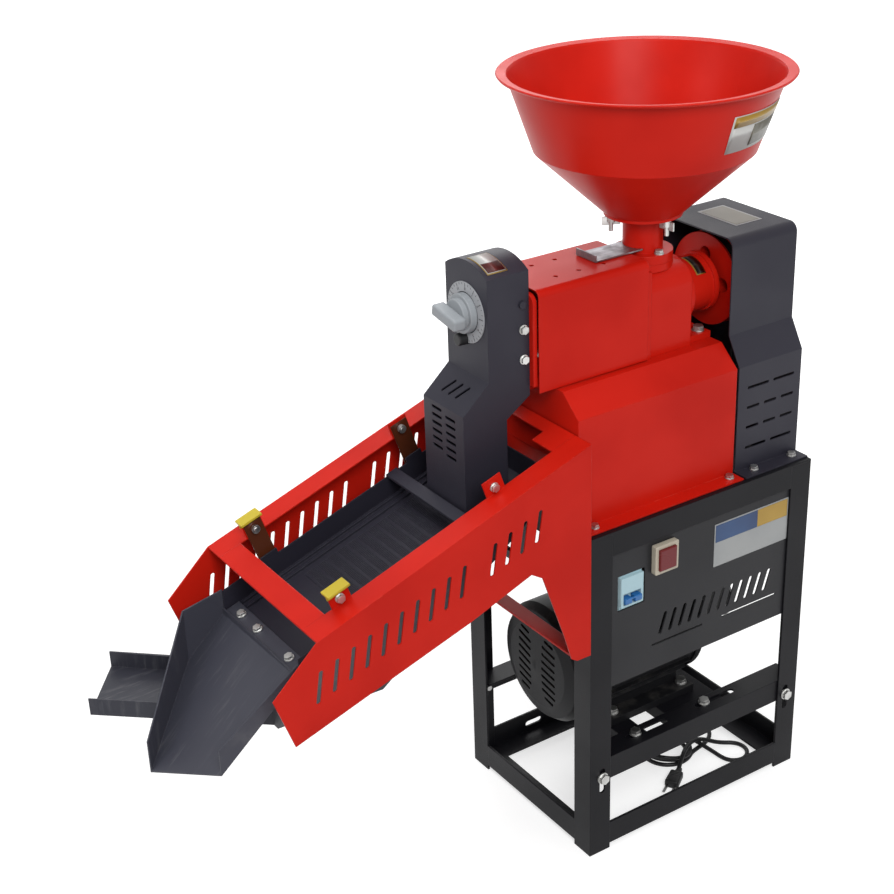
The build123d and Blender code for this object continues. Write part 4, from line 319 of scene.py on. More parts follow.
BLUE = coated("blue_lever", rgb(0.02, 0.14, 0.40), rgb(0.015, 0.10, 0.32), 0.32, edge=rgb(0.1, 0.3, 0.55),
              wear_and_highlight=0.3)
SILVER_LABEL = coated("silver_label", rgb(0.36, 0.37, 0.37), rgb(0.28, 0.29, 0.30), 0.34,
                      edge=rgb(0.5, 0.5, 0.5), mottle=0.8, grain=0.15, wear_and_highlight=0.3, specular=0.35)
GREY_LABEL = coated("grey_label", rgb(0.20, 0.19, 0.15), rgb(0.12, 0.115, 0.09), 0.34,
                    edge=rgb(0.4, 0.4, 0.38), mottle=1.0, grain=0.15, wear_and_highlight=0.3, specular=0.4)
WHITE_LABEL = coated("white_label", rgb(0.62, 0.62, 0.60), rgb(0.52, 0.52, 0.50), 0.38, mottle=0.4,
                     grain=0.08, wear_and_highlight=0.1, specular=0.35)
GOLD_LABEL = coated("gold_label", rgb(0.46, 0.29, 0.05), rgb(0.32, 0.19, 0.03), 0.34, mottle=0.6,
                    grain=0.08, wear_and_highlight=0.1, specular=0.35)
BLACK_LABEL = coated("black_label", rgb(0.022, 0.020, 0.018), rgb(0.015, 0.014, 0.013), 0.32, mottle=0.4,
                     grain=0.08, wear_and_highlight=0.1, specular=0.35)
WINE_LABEL = coated("wine_label", rgb(0.11, 0.012, 0.010), rgb(0.07, 0.008, 0.007), 0.34, mottle=0.6,
                    grain=0.08, wear_and_highlight=0.1, specular=0.35)
BLUE_LABEL = coated("blue_label", rgb(0.035, 0.09, 0.22), rgb(0.018, 0.035, 0.10), 0.34, mottle=1.0,
                    grain=0.08, wear_and_highlight=0.1, specular=0.35)

NODE_FINISH = {"stand_legs": FRAME_BLACK, "stand_rings": FRAME_BLACK, "front_panel": PANEL_GREY,
               "motor_rails": FRAME_BLACK, "motor_cross_rails": FRAME_BLACK, "motor_body": MOTOR,
               "motor_end_shields": MOTOR, "motor_fan_cover": MOTOR, "motor_fan": BLACK_PLASTIC,
               "motor_rotor": IRON, "terminal_box": MOTOR, "cord_gland": BLACK_PLASTIC,
               "motor_pulley": IRON, "main_pulley": RED, "shaker_pulley": IRON, "belts": RUBBER,
               "belt_guard": CHARCOAL, "bran_hood": RED, "mill_cover": RED, "chamber_end_plate": RED,
               "rice_screen": BRIGHT, "milling_roller": IRON, "feed_screw": IRON, "main_shaft": SHAFT,
               "feed_housing": RED, "ball_bearings": BRIGHT, "hopper": RED, "hopper_neck": RED,
               "feed_gate": GATE, "wing_bolts": ZINC, "outlet_head": CHARCOAL, "dial_ring": DIAL,
               "pressure_knob": KNOB, "pressure_flap": BRIGHT, "flap_pin": CHARCOAL, "flap_spring": BRIGHT,
               "sieve_side_near": RED, "sieve_side_far": RED, "sieve_bars": RED, "near_strips": STRIP,
               "far_strips": STRIP, "strip_bolts": ZINC, "sieve_bolts": ZINC, "hanger_caps": YELLOW,
               "sieve_tray": TRAY_DARK, "sieve_screen": TRAY_DARK, "tray_bridge": CHARCOAL,
               "shaker_rod": CHARCOAL, "main_chute": CHUTE, "lower_pan": PAN, "shaker_shaft": SHAFT,
               "shaker_bearings": IRON, "breaker_body": PALE, "breaker_toggle": BLUE, "button_bezel": CREAM,
               "push_button": DARK_RED, "machine_bolts": ZINC, "cord_tube": CORD_SKIN,
               "cord_hank": CORD_SKIN, "mains_plug": BLACK_PLASTIC}

for node_name, finish in NODE_FINISH.items():
    node = NODES[node_name]
    if not node.material_slots:
        node.data.materials.append(finish)
    for slot in node.material_slots:
        slot.link = "OBJECT"
        slot.material = finish


# Camera, floor and light

CAMERA_AT = at(-1132.29, -1432.92, 1518.17)
CAMERA_YAW = -0.572
CAMERA_PITCH = 0.451
CAMERA_ROLL = -0.0373
CAMERA_LENS = 66.853
SENSOR_WIDTH = 36.0
CLIP_END = 60.0

FLOOR_HALF = 14.0
FLOOR_DROP = 0.0004
FLOOR_TONE = 0.62
FLOOR_FADE = (0.7, 2.2)
WORLD_LIGHT = 0.34
WORLD_SEEN_MORE = 0.66
LAMP_TARGET = (0, 0, 0.5)
LAMPS = {
    "key_lamp": {"place": (-1.2, -3.0, 3.2), "size": 1.8, "power": 105.0},
    "top_lamp": {"place": (0.3, 0.3, 3.6), "size": 2.2, "power": 40.0},
    "left_lamp": {"place": (-3.2, 0.6, 2.0), "size": 1.6, "power": 22.0},
    "back_lamp": {"place": (1.6, 2.8, 2.4), "size": 1.8, "power": 25.0},
}


def place_camera():
    """Camera solved from the stand's straight legs: a place, a heading, a pitch and a small roll."""
    data = bpy.data.cameras.new("photo_camera")
    data.lens = CAMERA_LENS
    data.sensor_width = SENSOR_WIDTH
    data.clip_end = CLIP_END
    camera = bpy.data.objects.new("photo_camera", data)
    bpy.context.scene.collection.objects.link(camera)
    right = Vector((math.cos(CAMERA_YAW), math.sin(CAMERA_YAW), 0))
    back = Vector((math.sin(CAMERA_YAW) * math.cos(CAMERA_PITCH),
                   -math.cos(CAMERA_YAW) * math.cos(CAMERA_PITCH), math.sin(CAMERA_PITCH)))
    up = back.cross(right)
    roll_right = math.cos(CAMERA_ROLL) * right + math.sin(CAMERA_ROLL) * up
    roll_up = -math.sin(CAMERA_ROLL) * right + math.cos(CAMERA_ROLL) * up
    turn = Matrix((roll_right, roll_up, back)).transposed().to_4x4()
    camera.matrix_world = Matrix.Translation(CAMERA_AT) @ turn
    bpy.context.scene.camera = camera


def seen_directly(tree):
    """1 for what the camera, a mirror-like surface or clear glass sees."""
    path = tree.nodes.new("ShaderNodeLightPath").outputs
    rays = sum_of(tree, "MAXIMUM", path["Is Camera Ray"], path["Is Glossy Ray"])
    return sum_of(tree, "MAXIMUM", rays, path["Is Transmission Ray"])


def lay_floor():
    """Pale floor that keeps the shadow and turns white away from the machine."""
    shape = bmesh.new()
    bmesh.ops.create_grid(shape, x_segments=2, y_segments=2, size=FLOOR_HALF)
    bmesh.ops.translate(shape, verts=shape.verts, vec=(0, 0, -FLOOR_DROP))
    data = bpy.data.meshes.new("floor")
    shape.to_mesh(data)
    shape.free()
    floor = bpy.data.objects.new("floor", data)
    bpy.context.scene.collection.objects.link(floor)
    material, tree, shader = start_material("white_floor")
    shader.inputs["Base Color"].default_value = rgb(FLOOR_TONE, FLOOR_TONE, FLOOR_TONE)
    shader.inputs["Roughness"].default_value = 0.9
    shader.inputs["Specular IOR Level"].default_value = 0.1
    place = tree.nodes.new("ShaderNodeTexCoord").outputs["Object"]
    distance = add(tree, "ShaderNodeVectorMath", {0: place}, operation="LENGTH").outputs["Value"]
    glow = spread(tree, distance, *FLOOR_FADE, FLOOR_TONE, 1.0)
    white = sum_of(tree, "MULTIPLY", seen_directly(tree), glow)
    shader.inputs["Emission Color"].default_value = rgb(1, 1, 1)
    tree.links.new(white, shader.inputs["Emission Strength"])
    data.materials.append(material)


def light_world():
    world = bpy.data.worlds.new("studio")
    bpy.context.scene.world = world
    world.use_nodes = True
    tree = world.node_tree
    background = tree.nodes["Background"]
    background.inputs["Color"].default_value = rgb(1, 1, 1)
    strength = add(tree, "ShaderNodeMath", {0: seen_directly(tree), 1: WORLD_SEEN_MORE, 2: WORLD_LIGHT},
                   operation="MULTIPLY_ADD")
    tree.links.new(strength.outputs[0], background.inputs["Strength"])


def soft_lamp(name, place, size, power):
    data = bpy.data.lights.new(name, "AREA")
    data.shape = "SQUARE"
    data.size = size
    data.energy = power
    lamp = bpy.data.objects.new(name, data)
    bpy.context.scene.collection.objects.link(lamp)
    lamp.location = place
    aim = Vector(LAMP_TARGET) - Vector(place)
    lamp.rotation_euler = aim.to_track_quat("-Z", "Y").to_euler()


bpy.context.scene.view_settings.view_transform = "Standard"
place_camera()
lay_floor()
light_world()
for lamp_name, lamp in LAMPS.items():
    soft_lamp(lamp_name, **lamp)


# Shaping helpers

def finish_piece(name, shape, material, body, smooth=False):
    """Turns a bmesh into a piece that rides on a body."""
    bmesh.ops.remove_doubles(shape, verts=shape.verts, dist=1e-7)
    bmesh.ops.recalc_face_normals(shape, faces=shape.faces)
    data = bpy.data.meshes.new(name)
    shape.to_mesh(data)
    shape.free()
    for face in data.polygons:
        face.use_smooth = smooth
    data.materials.append(material)
    piece = bpy.data.objects.new(name, data)
    bpy.context.scene.collection.objects.link(piece)
    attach(piece, body)
    return piece


def round_edges(shape, edges, offset, segments):
    """Bevels these edges by an offset in millimetres."""
    return bmesh.ops.bevel(shape, geom=edges, offset=offset / 1000, offset_type="OFFSET", segments=segments,
                           profile=0.5, affect="EDGES", material=-1)["verts"]


def edges_of(verts):
    return {e for v in verts for e in v.link_edges}


def sharp_rims(verts):
    return [e for e in edges_of(verts) if e.calc_face_angle(0) > 1.0]


def slab(shape, size, turn=None, edge=0.0, segments=2):
    """A box of that size in millimetres with bevelled edges, turned and put in place."""
    made = bmesh.ops.create_cube(shape, size=1.0)["verts"]
    bmesh.ops.scale(shape, verts=made, vec=Vector(size) / 1000)
    if edge:
        made = round_edges(shape, list(edges_of(made)), edge, segments)
    if turn is not None:
        bmesh.ops.transform(shape, matrix=turn, verts=made)
    return made


def shift(x, y, z):
    """A matrix that moves by millimetres."""
    return Matrix.Translation(Vector((x, y, z)) / 1000)


def frame_at(origin, x_dir, z_dir):
    """A matrix at this place, with its Z along z_dir and its X as near x_dir as that allows."""
    z = Vector(z_dir).normalized()
    x = Vector(x_dir)
    x = (x - z * x.dot(z)).normalized()
    y = z.cross(x)
    turn = Matrix((x, y, z)).transposed().to_4x4()
    return Matrix.Translation(origin) @ turn


# Cord

CORD_D = 0.0065

# From the gland down to the floor, in metres of the shared frame
CORD_ROUTE = [(0.3510, 0.0707, 0.2250), (0.3640, 0.0707, 0.2250), (0.3760, 0.0707, 0.2230),
              (0.3865, 0.0706, 0.2170), (0.3938, 0.0703, 0.2075), (0.3976, 0.0699, 0.1960),
              (0.3986, 0.0693, 0.1830), (0.3986, 0.0688, 0.1680), (0.3980, 0.0668, 0.1280),
              (0.3970, 0.0628, 0.0880), (0.3980, 0.0548, 0.0520), (0.4015, 0.0432, 0.0270),
              (0.4080, 0.0288, 0.0095), (0.4175, 0.0107, 0.0034), (0.4250, -0.0092, 0.0033),
              (0.4270, -0.0272, 0.0033), (0.4226, -0.0423, 0.0033), (0.4126, -0.0533, 0.0033),
              (0.3985, -0.0600, 0.0033), (0.3825, -0.0630, 0.0033)]
COIL_ENTRY = (268.5, 95.0, 3.3)
COIL_MIDDLE = (240.0, 122.0)
COIL_START = -68.0
COIL_POINTS = 34
COIL_STEP = 30.0
COIL_WIDE = 37.8
COIL_INWARD = 7.0
COIL_LEVELS = (3.4, 9.9, 16.4)
CLIMB_PER_LAP = 6
SPLINE_CUT = 0.983
ON_FLOOR = 3.4
LEAD_OUT = [
    (278.2, 121.0, 16.6), (283.6, 107.0, 12.6), (288.2, 95.5, 9.3), (292.2, 84.0, 6.2), (295.2, 72.5, 4.2),
    (296.4, 60.5, 3.4),
]
LOOP_MIDDLE = (319.0, 60.5)
LOOP_WIDE = 22.6
LOOP_START = 209.0
LOOP_STEP = 29.0
LOOP_POINTS = 8
LEAD_BACK = [
    (322.5, 84.6, 4.0), (311.5, 90.0, 6.8), (301.5, 94.8, 11.4), (289.5, 98.6, 16.6), (277.5, 99.6, 19.2),
    (265.0, 96.8, 20.2), (253.0, 91.0, 20.6), (241.0, 83.4, 19.8), (231.0, 76.8, 14.6), (222.5, 71.0, 8.8),
    (215.0, 65.6, 6.3),
]


def on_circle(middle, radius, turn, height):
    return at(middle[0] + radius * math.cos(turn), middle[1] + radius * math.sin(turn), height)


def coil_points():
    """Turns of the coil, clockwise from its front, one level on the next and a diameter apart."""
    points = []
    for step in range(COIL_POINTS):
        turn = math.radians(COIL_START - COIL_STEP * step)
        lap = step * COIL_STEP / 360
        level = int(lap)
        part = lap - level
        inward = part if level % 2 == 0 else 1.0 - part
        radius = (COIL_WIDE - COIL_INWARD * inward) / SPLINE_CUT
        below = COIL_LEVELS[max(level - 1, 0)]
        height = below + (COIL_LEVELS[level] - below) * min(1.0, CLIMB_PER_LAP * part)
        points.append(on_circle(COIL_MIDDLE, radius, turn, height))
    return points


def loop_points():
    """One wide loop on the floor to the right of the coil."""
    points = []
    for step in range(LOOP_POINTS):
        turn = math.radians(LOOP_START + LOOP_STEP * step)
        points.append(on_circle(LOOP_MIDDLE, LOOP_WIDE, turn, ON_FLOOR))
    return points


def lay_cord():
    """The whole cord as one curve: gland, drop, coil, loop and the lead back to the plug."""
    route = [Vector(point) for point in CORD_ROUTE]
    route.append(at(*COIL_ENTRY))
    route += coil_points()
    route += [at(*point) for point in LEAD_OUT]
    route += loop_points()
    route += [at(*point) for point in LEAD_BACK]
    data = bpy.data.curves.new("mains_cord", "CURVE")
    data.dimensions = "3D"
    data.bevel_depth = CORD_D / 2
    data.bevel_resolution = 5
    data.resolution_u = 8
    data.use_fill_caps = True
    spline = data.splines.new("NURBS")
    spline.points.add(len(route) - 1)
    for point, place in zip(spline.points, route):
        point.co = (*place, 1.0)
    spline.order_u = 3
    spline.use_endpoint_u = True
    spline.use_smooth = True
    data.materials.append(CORD_SKIN)
    cord = bpy.data.objects.new("mains_cord", data)
    bpy.context.scene.collection.objects.link(cord)
    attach(cord, "stand")
    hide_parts("cord_tube", "cord_hank")
    return cord


TIE_MIDDLE = (257.2, 151.7, 10.9)
TIE_ALONG = (-0.866, 0.5, 0)
TIE_HALF = (8.6, 10.4)
TIE_WIDTH = 8.0
TIE_T = 1.2


def cord_tie():
    """Strap round the stacked turns of the coil."""
    shape = bmesh.new()
    made = bmesh.ops.create_circle(shape, cap_ends=False, segments=28, radius=1.0)["verts"]
    for vert in made:
        x, y, _ = vert.co
        vert.co = Vector((-TIE_WIDTH / 2, TIE_HALF[0] * x, TIE_HALF[1] * y)) / 1000
    wide = bmesh.ops.extrude_edge_only(shape, edges=list(edges_of(made)))["geom"]
    far_rim = [g for g in wide if isinstance(g, bmesh.types.BMVert)]
    bmesh.ops.translate(shape, verts=far_rim, vec=(TIE_WIDTH / 1000, 0, 0))
    bmesh.ops.solidify(shape, geom=shape.faces[:], thickness=TIE_T / 1000)
    bmesh.ops.transform(shape, matrix=frame_at(at(*TIE_MIDDLE), TIE_ALONG, (0, 0, 1)), verts=shape.verts)
    return finish_piece("cord_tie", shape, BLACK_PLASTIC, "stand", True)


# The plug's sizes lie along the cord, across it and up
PLUG_BACK = (215.0, 65.6, 0.2)
PLUG_TURN = 212.2
PLUG_BODY = (31.0, 21.0, 13.4)
PLUG_BODY_MIDDLE = (16.5, 0, 7.0)
PLUG_WAIST = 0.22
PLUG_WAIST_AT = 0.012
PLUG_WAIST_WIDE = 0.007
PLUG_RIB = (1.4, 17.6, 13.9)
PLUG_RIBS_AT = (7.0, 10.5, 14.0)
SLEEVE_RADII = (0.0042, 0.0056)
SLEEVE_LENGTH = 0.014
SLEEVE_MIDDLE = (-4.0, 0, 6.3)
PIN_SIZE = (17.0, 4.4, 1.8)
PIN_MIDDLE = (40.5, 6.0, 5.2)


def plug_piece():
    """Two-pin plug: waisted body with grip ribs, a tapered cord sleeve and two pins."""
    shape = bmesh.new()
    heading = math.radians(PLUG_TURN)
    place = frame_at(at(*PLUG_BACK), (math.cos(heading), math.sin(heading), 0), (0, 0, 1))
    body = slab(shape, PLUG_BODY, shift(*PLUG_BODY_MIDDLE), 3.6, 4)
    for vert in body:
        vert.co.y *= 1.0 - PLUG_WAIST * math.exp(-((vert.co.x - PLUG_WAIST_AT) / PLUG_WAIST_WIDE) ** 2)
    for x in PLUG_RIBS_AT:
        slab(shape, PLUG_RIB, shift(x, 0, PLUG_BODY_MIDDLE[2]), 0.5, 2)
    sleeve = bmesh.ops.create_cone(shape, cap_ends=True, segments=20, radius1=SLEEVE_RADII[0],
                                   radius2=SLEEVE_RADII[1], depth=SLEEVE_LENGTH)["verts"]
    lying = shift(*SLEEVE_MIDDLE) @ Matrix.Rotation(math.pi / 2, 4, "Y")
    bmesh.ops.transform(shape, matrix=lying, verts=sleeve)
    bmesh.ops.transform(shape, matrix=place, verts=shape.verts)
    body_piece = finish_piece("plug_body", shape, BLACK_PLASTIC, "stand", True)
    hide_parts("mains_plug")
    pins = bmesh.new()
    for side in (-1, 1):
        slab(pins, PIN_SIZE, shift(PIN_MIDDLE[0], side * PIN_MIDDLE[1], PIN_MIDDLE[2]), 0.6, 2)
    bmesh.ops.transform(pins, matrix=place, verts=pins.verts)
    pins_piece = finish_piece("plug_pins", pins, BRIGHT, "stand")
    return [body_piece, pins_piece]


mains_cord = lay_cord()
cord_pieces = [cord_tie()] + plug_piece()


# Dial and knob

DIAL_MIDDLE = (-93.6, 128.0, 790.0)
DIAL_OUT = 37.4
DIAL_TICKS = 36
LONG_TICK = (4.6, 0.75, 0.24)
SHORT_TICK = (2.8, 0.5, 0.24)
DIAL_NUMBERS = 12
NUMBER_RADIUS = 30.0
NUMBER_SIZE = 5.2
NUMBER_T = 0.00012
TO_THE_NEAR_SIDE = (0, -1, 0)
OUT_OF_THE_HEAD = (-1, 0, 0)


def dial_frame():
    return frame_at(at(*DIAL_MIDDLE), TO_THE_NEAR_SIDE, OUT_OF_THE_HEAD)


def dial_marks():
    """Ring of ticks, every third one long."""
    shape = bmesh.new()
    for i in range(DIAL_TICKS):
        size = SHORT_TICK if i % 3 else LONG_TICK
        spin = Matrix.Rotation(math.radians(360.0 / DIAL_TICKS * i), 4, "Z")
        slab(shape, size, dial_frame() @ spin @ shift(DIAL_OUT - size[0] / 2, 0, 0))
    return finish_piece("dial_ticks", shape, MARKS, "stand")


def flat_words(name, text, size, place, material, body):
    """Raised flat lettering, made a mesh before it takes its place."""
    curve = bpy.data.curves.new(name + "_outline", "FONT")
    curve.body = text
    curve.size = size / 1000
    curve.extrude = NUMBER_T
    curve.align_x = "CENTER"
    curve.align_y = "CENTER"
    holder = bpy.data.objects.new(name + "_outline", curve)
    bpy.context.scene.collection.objects.link(holder)
    data = bpy.data.meshes.new_from_object(holder)
    bpy.data.objects.remove(holder)
    shape = bmesh.new()
    shape.from_mesh(data)
    bmesh.ops.transform(shape, matrix=place, verts=shape.verts)
    return finish_piece(name, shape, material, body)


def dial_numbers():
    """Plain numbers from 0, clockwise from the top of the dial."""
    for i in range(DIAL_NUMBERS):
        spin = Matrix.Rotation(math.radians(90.0 - 360.0 / DIAL_NUMBERS * i), 4, "Z")
        upright = Matrix.Rotation(-math.pi / 2, 4, "Z")
        spot = dial_frame() @ spin @ shift(NUMBER_RADIUS, 0, 0) @ upright
        flat_words(f"dial_number_{i}", str(i), NUMBER_SIZE, spot, MARKS, "stand")


dial_marks()
dial_numbers()


KNOB_FACE = (-92.5, 128.0, 790.0)
KNOB_TILT = 10.0
KNOB_DRUMS = ((25.0, 0.0, 10.0), (20.0, 9.0, 17.0))
KNOB_ROUNDING = 1.1
GRIP_SIZE = (51.0, 15.0, 18.0)
GRIP_SEAT = 16.5
GRIP_ROUNDING = 3.2
# Sizes of a dark nub that stands in for the painted shade under the knob's grip
SHADE_NUB_FACE = (-92.1, 132.0, 755.5)
SHADE_NUB_RADII = (8.5, 7.8)
SHADE_NUB_LENGTH = 13.0
SHADE_NUB_ROUNDING = 1.6


def knob_grip():
    """Two-step knob with a bar grip; each drum is given by its radius and its two ends."""
    shape = bmesh.new()
    place = frame_at(at(*KNOB_FACE), TO_THE_NEAR_SIDE, OUT_OF_THE_HEAD)
    place = place @ Matrix.Rotation(math.radians(-KNOB_TILT), 4, "Z")
    for radius, low, high in KNOB_DRUMS:
        drum = bmesh.ops.create_cone(shape, cap_ends=True, segments=64, radius1=radius / 1000,
                                     radius2=radius / 1000, depth=(high - low) / 1000)["verts"]
        drum = round_edges(shape, sharp_rims(drum), KNOB_ROUNDING, 3) + drum
        drum = [v for v in set(drum) if v.is_valid]
        bmesh.ops.translate(shape, verts=drum, vec=(0, 0, (low + high) / 2000))
    slab(shape, GRIP_SIZE, shift(0, 0, GRIP_SEAT + GRIP_SIZE[2] / 2), GRIP_ROUNDING, 4)
    bmesh.ops.transform(shape, matrix=place, verts=shape.verts)
    knob = finish_piece("knob_grip", shape, KNOB, "knob")
    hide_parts("pressure_knob")


def stop_sleeve():
    """Dark nub under the knob: painted shade standing in for the shadow under its grip."""
    shape = bmesh.new()
    bar = bmesh.ops.create_cone(shape, cap_ends=True, segments=32, radius1=SHADE_NUB_RADII[0] / 1000,
                                radius2=SHADE_NUB_RADII[1] / 1000, depth=SHADE_NUB_LENGTH / 1000)["verts"]
    round_edges(shape, sharp_rims(bar), SHADE_NUB_ROUNDING, 4)
    place = frame_at(at(*SHADE_NUB_FACE), TO_THE_NEAR_SIDE, OUT_OF_THE_HEAD) @ shift(0, 0, SHADE_NUB_LENGTH / 2)
    bmesh.ops.transform(shape, matrix=place, verts=shape.verts)
    finish_piece("stop_sleeve", shape, BLACK_PLASTIC, "stand")


knob_grip()
stop_sleeve()


# Breaker levers

LEVER_OFF_MIDDLE = 0.29
LEVER_SHARE = 0.40
LEVER_ROUNDING = 0.9
TIP_SHARE = 0.3
TIP_SIZE = 2.2
TIP_INSET = 0.0018


def lever_pair():
    """Two thumb levers side by side, joined by a bar along their tips, in the box of the plain toggle."""
    low, high = (Vector(corner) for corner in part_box("breaker_toggle"))
    middle = (low + high) / 2
    size = (high - low) * 1000
    shape = bmesh.new()
    for side in (-1, 1):
        off = shift(side * size.x * LEVER_OFF_MIDDLE, 0, 0)
        slab(shape, (size.x * LEVER_SHARE, size.y, size.z), Matrix.Translation(middle) @ off,
             LEVER_ROUNDING, 3)
    tip = Vector((middle.x, low.y + TIP_INSET, high.z - TIP_INSET))
    slab(shape, (size.x * TIP_SHARE, TIP_SIZE, TIP_SIZE), Matrix.Translation(tip), 0.4, 2)
    levers = finish_piece("lever_pair", shape, BLUE, "breaker_lever")
    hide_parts("breaker_toggle")


lever_pair()


# Sieve screen

SLOPE = 0.339
SCREEN_MIDDLE = (-170.0, 132.5, 505.37)
SCREEN_SIZE = (274.2, 144.6, 1.2)
SLOT_COLUMNS = 17
SLOT_ROWS = 48
SLOT_LENGTH = 12.2
SLOT_WIDTH = 1.0


def slotted_place(index, count, slot, whole):
    """Place of a grid line on a sheet where bridges and slots take turns, from the middle."""
    bridge = (whole - count * slot) / (count + 1)
    return (index // 2) * (bridge + slot) + (index % 2) * bridge - whole / 2


def fine_screen():
    """Sheet with rows of fine slots, let into the tray floor."""
    shape = bmesh.new()
    across = 2 * SLOT_COLUMNS + 1
    along = 2 * SLOT_ROWS + 1
    bmesh.ops.create_grid(shape, x_segments=across, y_segments=along, size=0.5)
    slots = []
    for face in shape.faces:
        middle = face.calc_center_median()
        column = int((middle.x + 0.5) * across)
        row = int((middle.y + 0.5) * along)
        if column % 2 and row % 2:
            slots.append(face)
    bmesh.ops.delete(shape, geom=slots, context="FACES")
    for vert in shape.verts:
        column = round((vert.co.x + 0.5) * across)
        row = round((vert.co.y + 0.5) * along)
        vert.co.x = slotted_place(column, SLOT_COLUMNS, SLOT_LENGTH, SCREEN_SIZE[0]) / 1000
        vert.co.y = slotted_place(row, SLOT_ROWS, SLOT_WIDTH, SCREEN_SIZE[1]) / 1000
    bmesh.ops.solidify(shape, geom=shape.faces[:], thickness=SCREEN_SIZE[2] / 1000)
    top = max(vert.co.z for vert in shape.verts)
    bmesh.ops.translate(shape, verts=shape.verts, vec=(0, 0, -top))
    place = frame_at(at(*SCREEN_MIDDLE), (1, 0, SLOPE), (-SLOPE, 0, 1))
    bmesh.ops.transform(shape, matrix=place, verts=shape.verts)
    piece = finish_piece("fine_screen", shape, TRAY_DARK, "sieve")
    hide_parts("sieve_screen")


fine_screen()


# Bare label plates

# Thickness in metres, lifts off the surface in millimetres
PLATE_T = 0.0003
UNDER = 0.35
OVER = 0.6


def plate(name, centre, x_dir, z_dir, size, material, lift=UNDER, corner=1.2):
    """Thin bare plate that lies on a surface."""
    shape = bmesh.new()
    made = bmesh.ops.create_grid(shape, x_segments=2, y_segments=2, size=0.5)["verts"]
    bmesh.ops.scale(shape, verts=made, vec=(size[0] / 1000, size[1] / 1000, 1))
    corners = [v for v in shape.verts if len(v.link_edges) == 2]
    bmesh.ops.bevel(shape, geom=corners, offset=corner / 1000, offset_type="OFFSET", segments=3,
                    profile=0.5, affect="VERTICES", material=-1)
    bmesh.ops.solidify(shape, geom=shape.faces[:], thickness=PLATE_T)
    bmesh.ops.transform(shape, matrix=frame_at(centre, x_dir, z_dir) @ shift(0, 0, lift), verts=shape.verts)
    return finish_piece(name, shape, material, "stand")


PANEL_FACE_Y = 3.0
GUARD_TOP = (332.0, 130.0, 823.0)
ALONG_X = (1, 0, 0)
ALONG_Y = (0, 1, 0)
UP = (0, 0, 1)

plate("panel_plate", at(277.5, PANEL_FACE_Y, 419.0), ALONG_X, TO_THE_NEAR_SIDE, (134.0, 65.0), SILVER_LABEL)
plate("panel_band", at(250.0, PANEL_FACE_Y, 436.5), ALONG_X, TO_THE_NEAR_SIDE, (75.0, 26.0), BLUE_LABEL,
      lift=OVER, corner=0.8)
plate("panel_band_end", at(315.0, PANEL_FACE_Y, 436.5), ALONG_X, TO_THE_NEAR_SIDE, (55.0, 26.0), GOLD_LABEL,
      lift=OVER, corner=0.8)
plate("guard_plate", at(*GUARD_TOP), ALONG_Y, UP, (76.0, 46.0), SILVER_LABEL)
plate("guard_plate_face", at(*GUARD_TOP), ALONG_Y, UP, (70.0, 40.0), GREY_LABEL, lift=OVER,
      corner=0.8)

HEAD_SIDE_TOP = 842.0
HEAD_MIDDLE_Y = 128.0
HEAD_HALF = 44.0
HEAD_ARCH = 14.0


def arched_plate(name, x0, x1, y0, y1, material, lift):
    """Plate bent over the low arch on top of the outlet head."""
    shape = bmesh.new()
    bmesh.ops.create_grid(shape, x_segments=2, y_segments=14, size=0.5)
    radius = (HEAD_HALF ** 2 + HEAD_ARCH ** 2) / (2 * HEAD_ARCH)
    for vert in shape.verts:
        x = (x0 + x1) / 2 + (x1 - x0) * vert.co.x
        y = (y0 + y1) / 2 + (y1 - y0) * vert.co.y
        rise = math.sqrt(radius ** 2 - (y - HEAD_MIDDLE_Y) ** 2) - (radius - HEAD_ARCH)
        vert.co = at(x, y, HEAD_SIDE_TOP + rise + lift)
    bmesh.ops.solidify(shape, geom=shape.faces[:], thickness=PLATE_T)
    return finish_piece(name, shape, material, "stand", True)


arched_plate("head_plate_rim", -86.0, -57.0, 90.0, 134.0, GOLD_LABEL, UNDER)
arched_plate("head_plate", -84.7, -58.3, 91.3, 132.7, WHITE_LABEL, 0.65)
arched_plate("head_plate_foot", -84.0, -59.0, 92.0, 108.0, WINE_LABEL, 0.95)


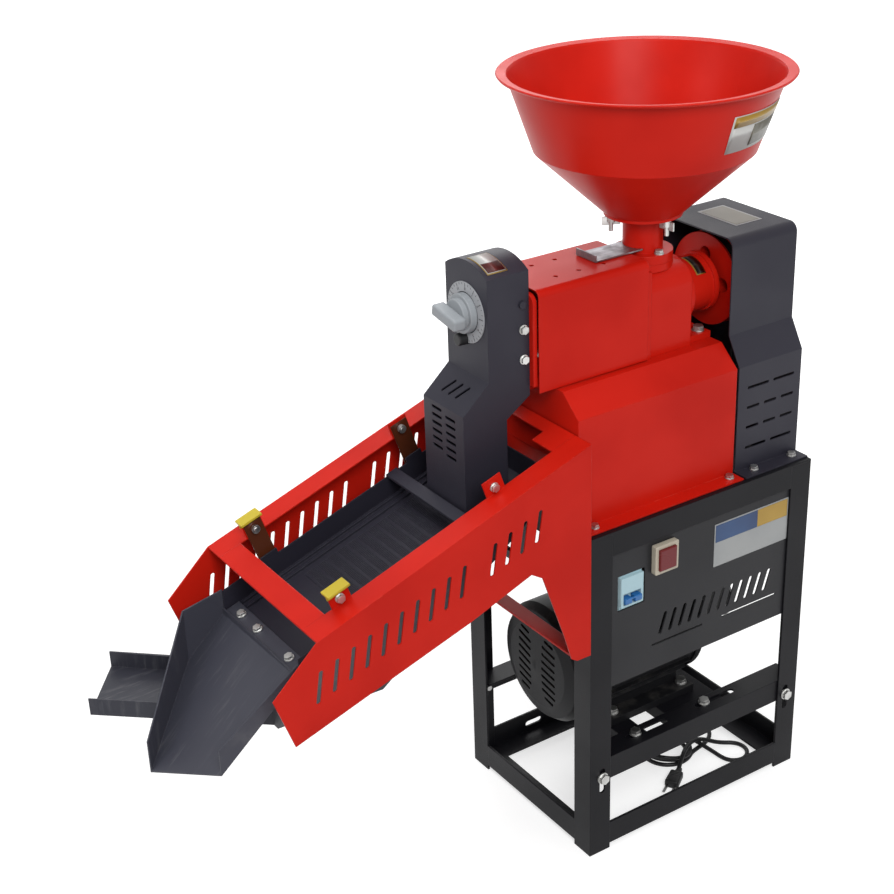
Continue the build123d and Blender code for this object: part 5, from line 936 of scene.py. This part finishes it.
def round_plate(name, axis_point, axis, start, sweep, low, high, material, lift):
    """Plate bent round a cone or barrel: a line from low to high, each (radius, along), spun by sweep."""
    shape = bmesh.new()
    base = frame_at(axis_point, start, axis)
    first = shape.verts.new(base @ Vector(((low[0] + lift) / 1000, 0, low[1] / 1000)))
    second = shape.verts.new(base @ Vector(((high[0] + lift) / 1000, 0, high[1] / 1000)))
    line = shape.edges.new((first, second))
    direction = Vector(axis).normalized()
    bmesh.ops.spin(shape, geom=[first, second, line], cent=axis_point, axis=direction,
                   angle=math.radians(sweep), steps=16, use_merge=False, use_duplicate=False)
    bmesh.ops.solidify(shape, geom=shape.faces[:], thickness=PLATE_T)
    return finish_piece(name, shape, material, "stand", True)


HOPPER_AXIS = at(182.0, 128.0, 0.0)
BOWL_LOW = (140.0, 945.0)
BOWL_HIGH = (171.5, 1036.6)


def on_bowl(z):
    """Radius and height of a point on the bowl's outer face."""
    flare = (BOWL_HIGH[0] - BOWL_LOW[0]) / (BOWL_HIGH[1] - BOWL_LOW[1])
    return (BOWL_LOW[0] + (z - BOWL_LOW[1]) * flare, z)


def bowl_plate(name, start, sweep, low, high, material, lift):
    turn = math.radians(start)
    round_plate(name, HOPPER_AXIS, UP, Vector((math.cos(turn), math.sin(turn), 0)), sweep, on_bowl(low),
                on_bowl(high), material, lift)


bowl_plate("hopper_plate", -91.0, 40.0, 966.0, 1014.0, WHITE_LABEL, UNDER)
bowl_plate("hopper_plate_top", -90.0, 38.0, 999.0, 1012.5, GOLD_LABEL, 0.7)
bowl_plate("hopper_plate_side", -76.0, 23.0, 970.0, 997.0, GREY_LABEL, 0.7)

BARREL_AXIS = at(0.0, 128.0, 745.0)
BARREL_R = 37.0


def barrel_plate(name, start, sweep, low, high, material, lift):
    turn = math.radians(start)
    round_plate(name, BARREL_AXIS, ALONG_X, Vector((0, -math.cos(turn), math.sin(turn))), sweep,
                (BARREL_R, low), (BARREL_R, high), material, lift)


barrel_plate("barrel_plate", 92.0, 56.0, 249.0, 265.0, GOLD_LABEL, 0.3)
barrel_plate("barrel_plate_face", 90.0, 52.0, 251.0, 263.0, BLACK_LABEL, OVER)
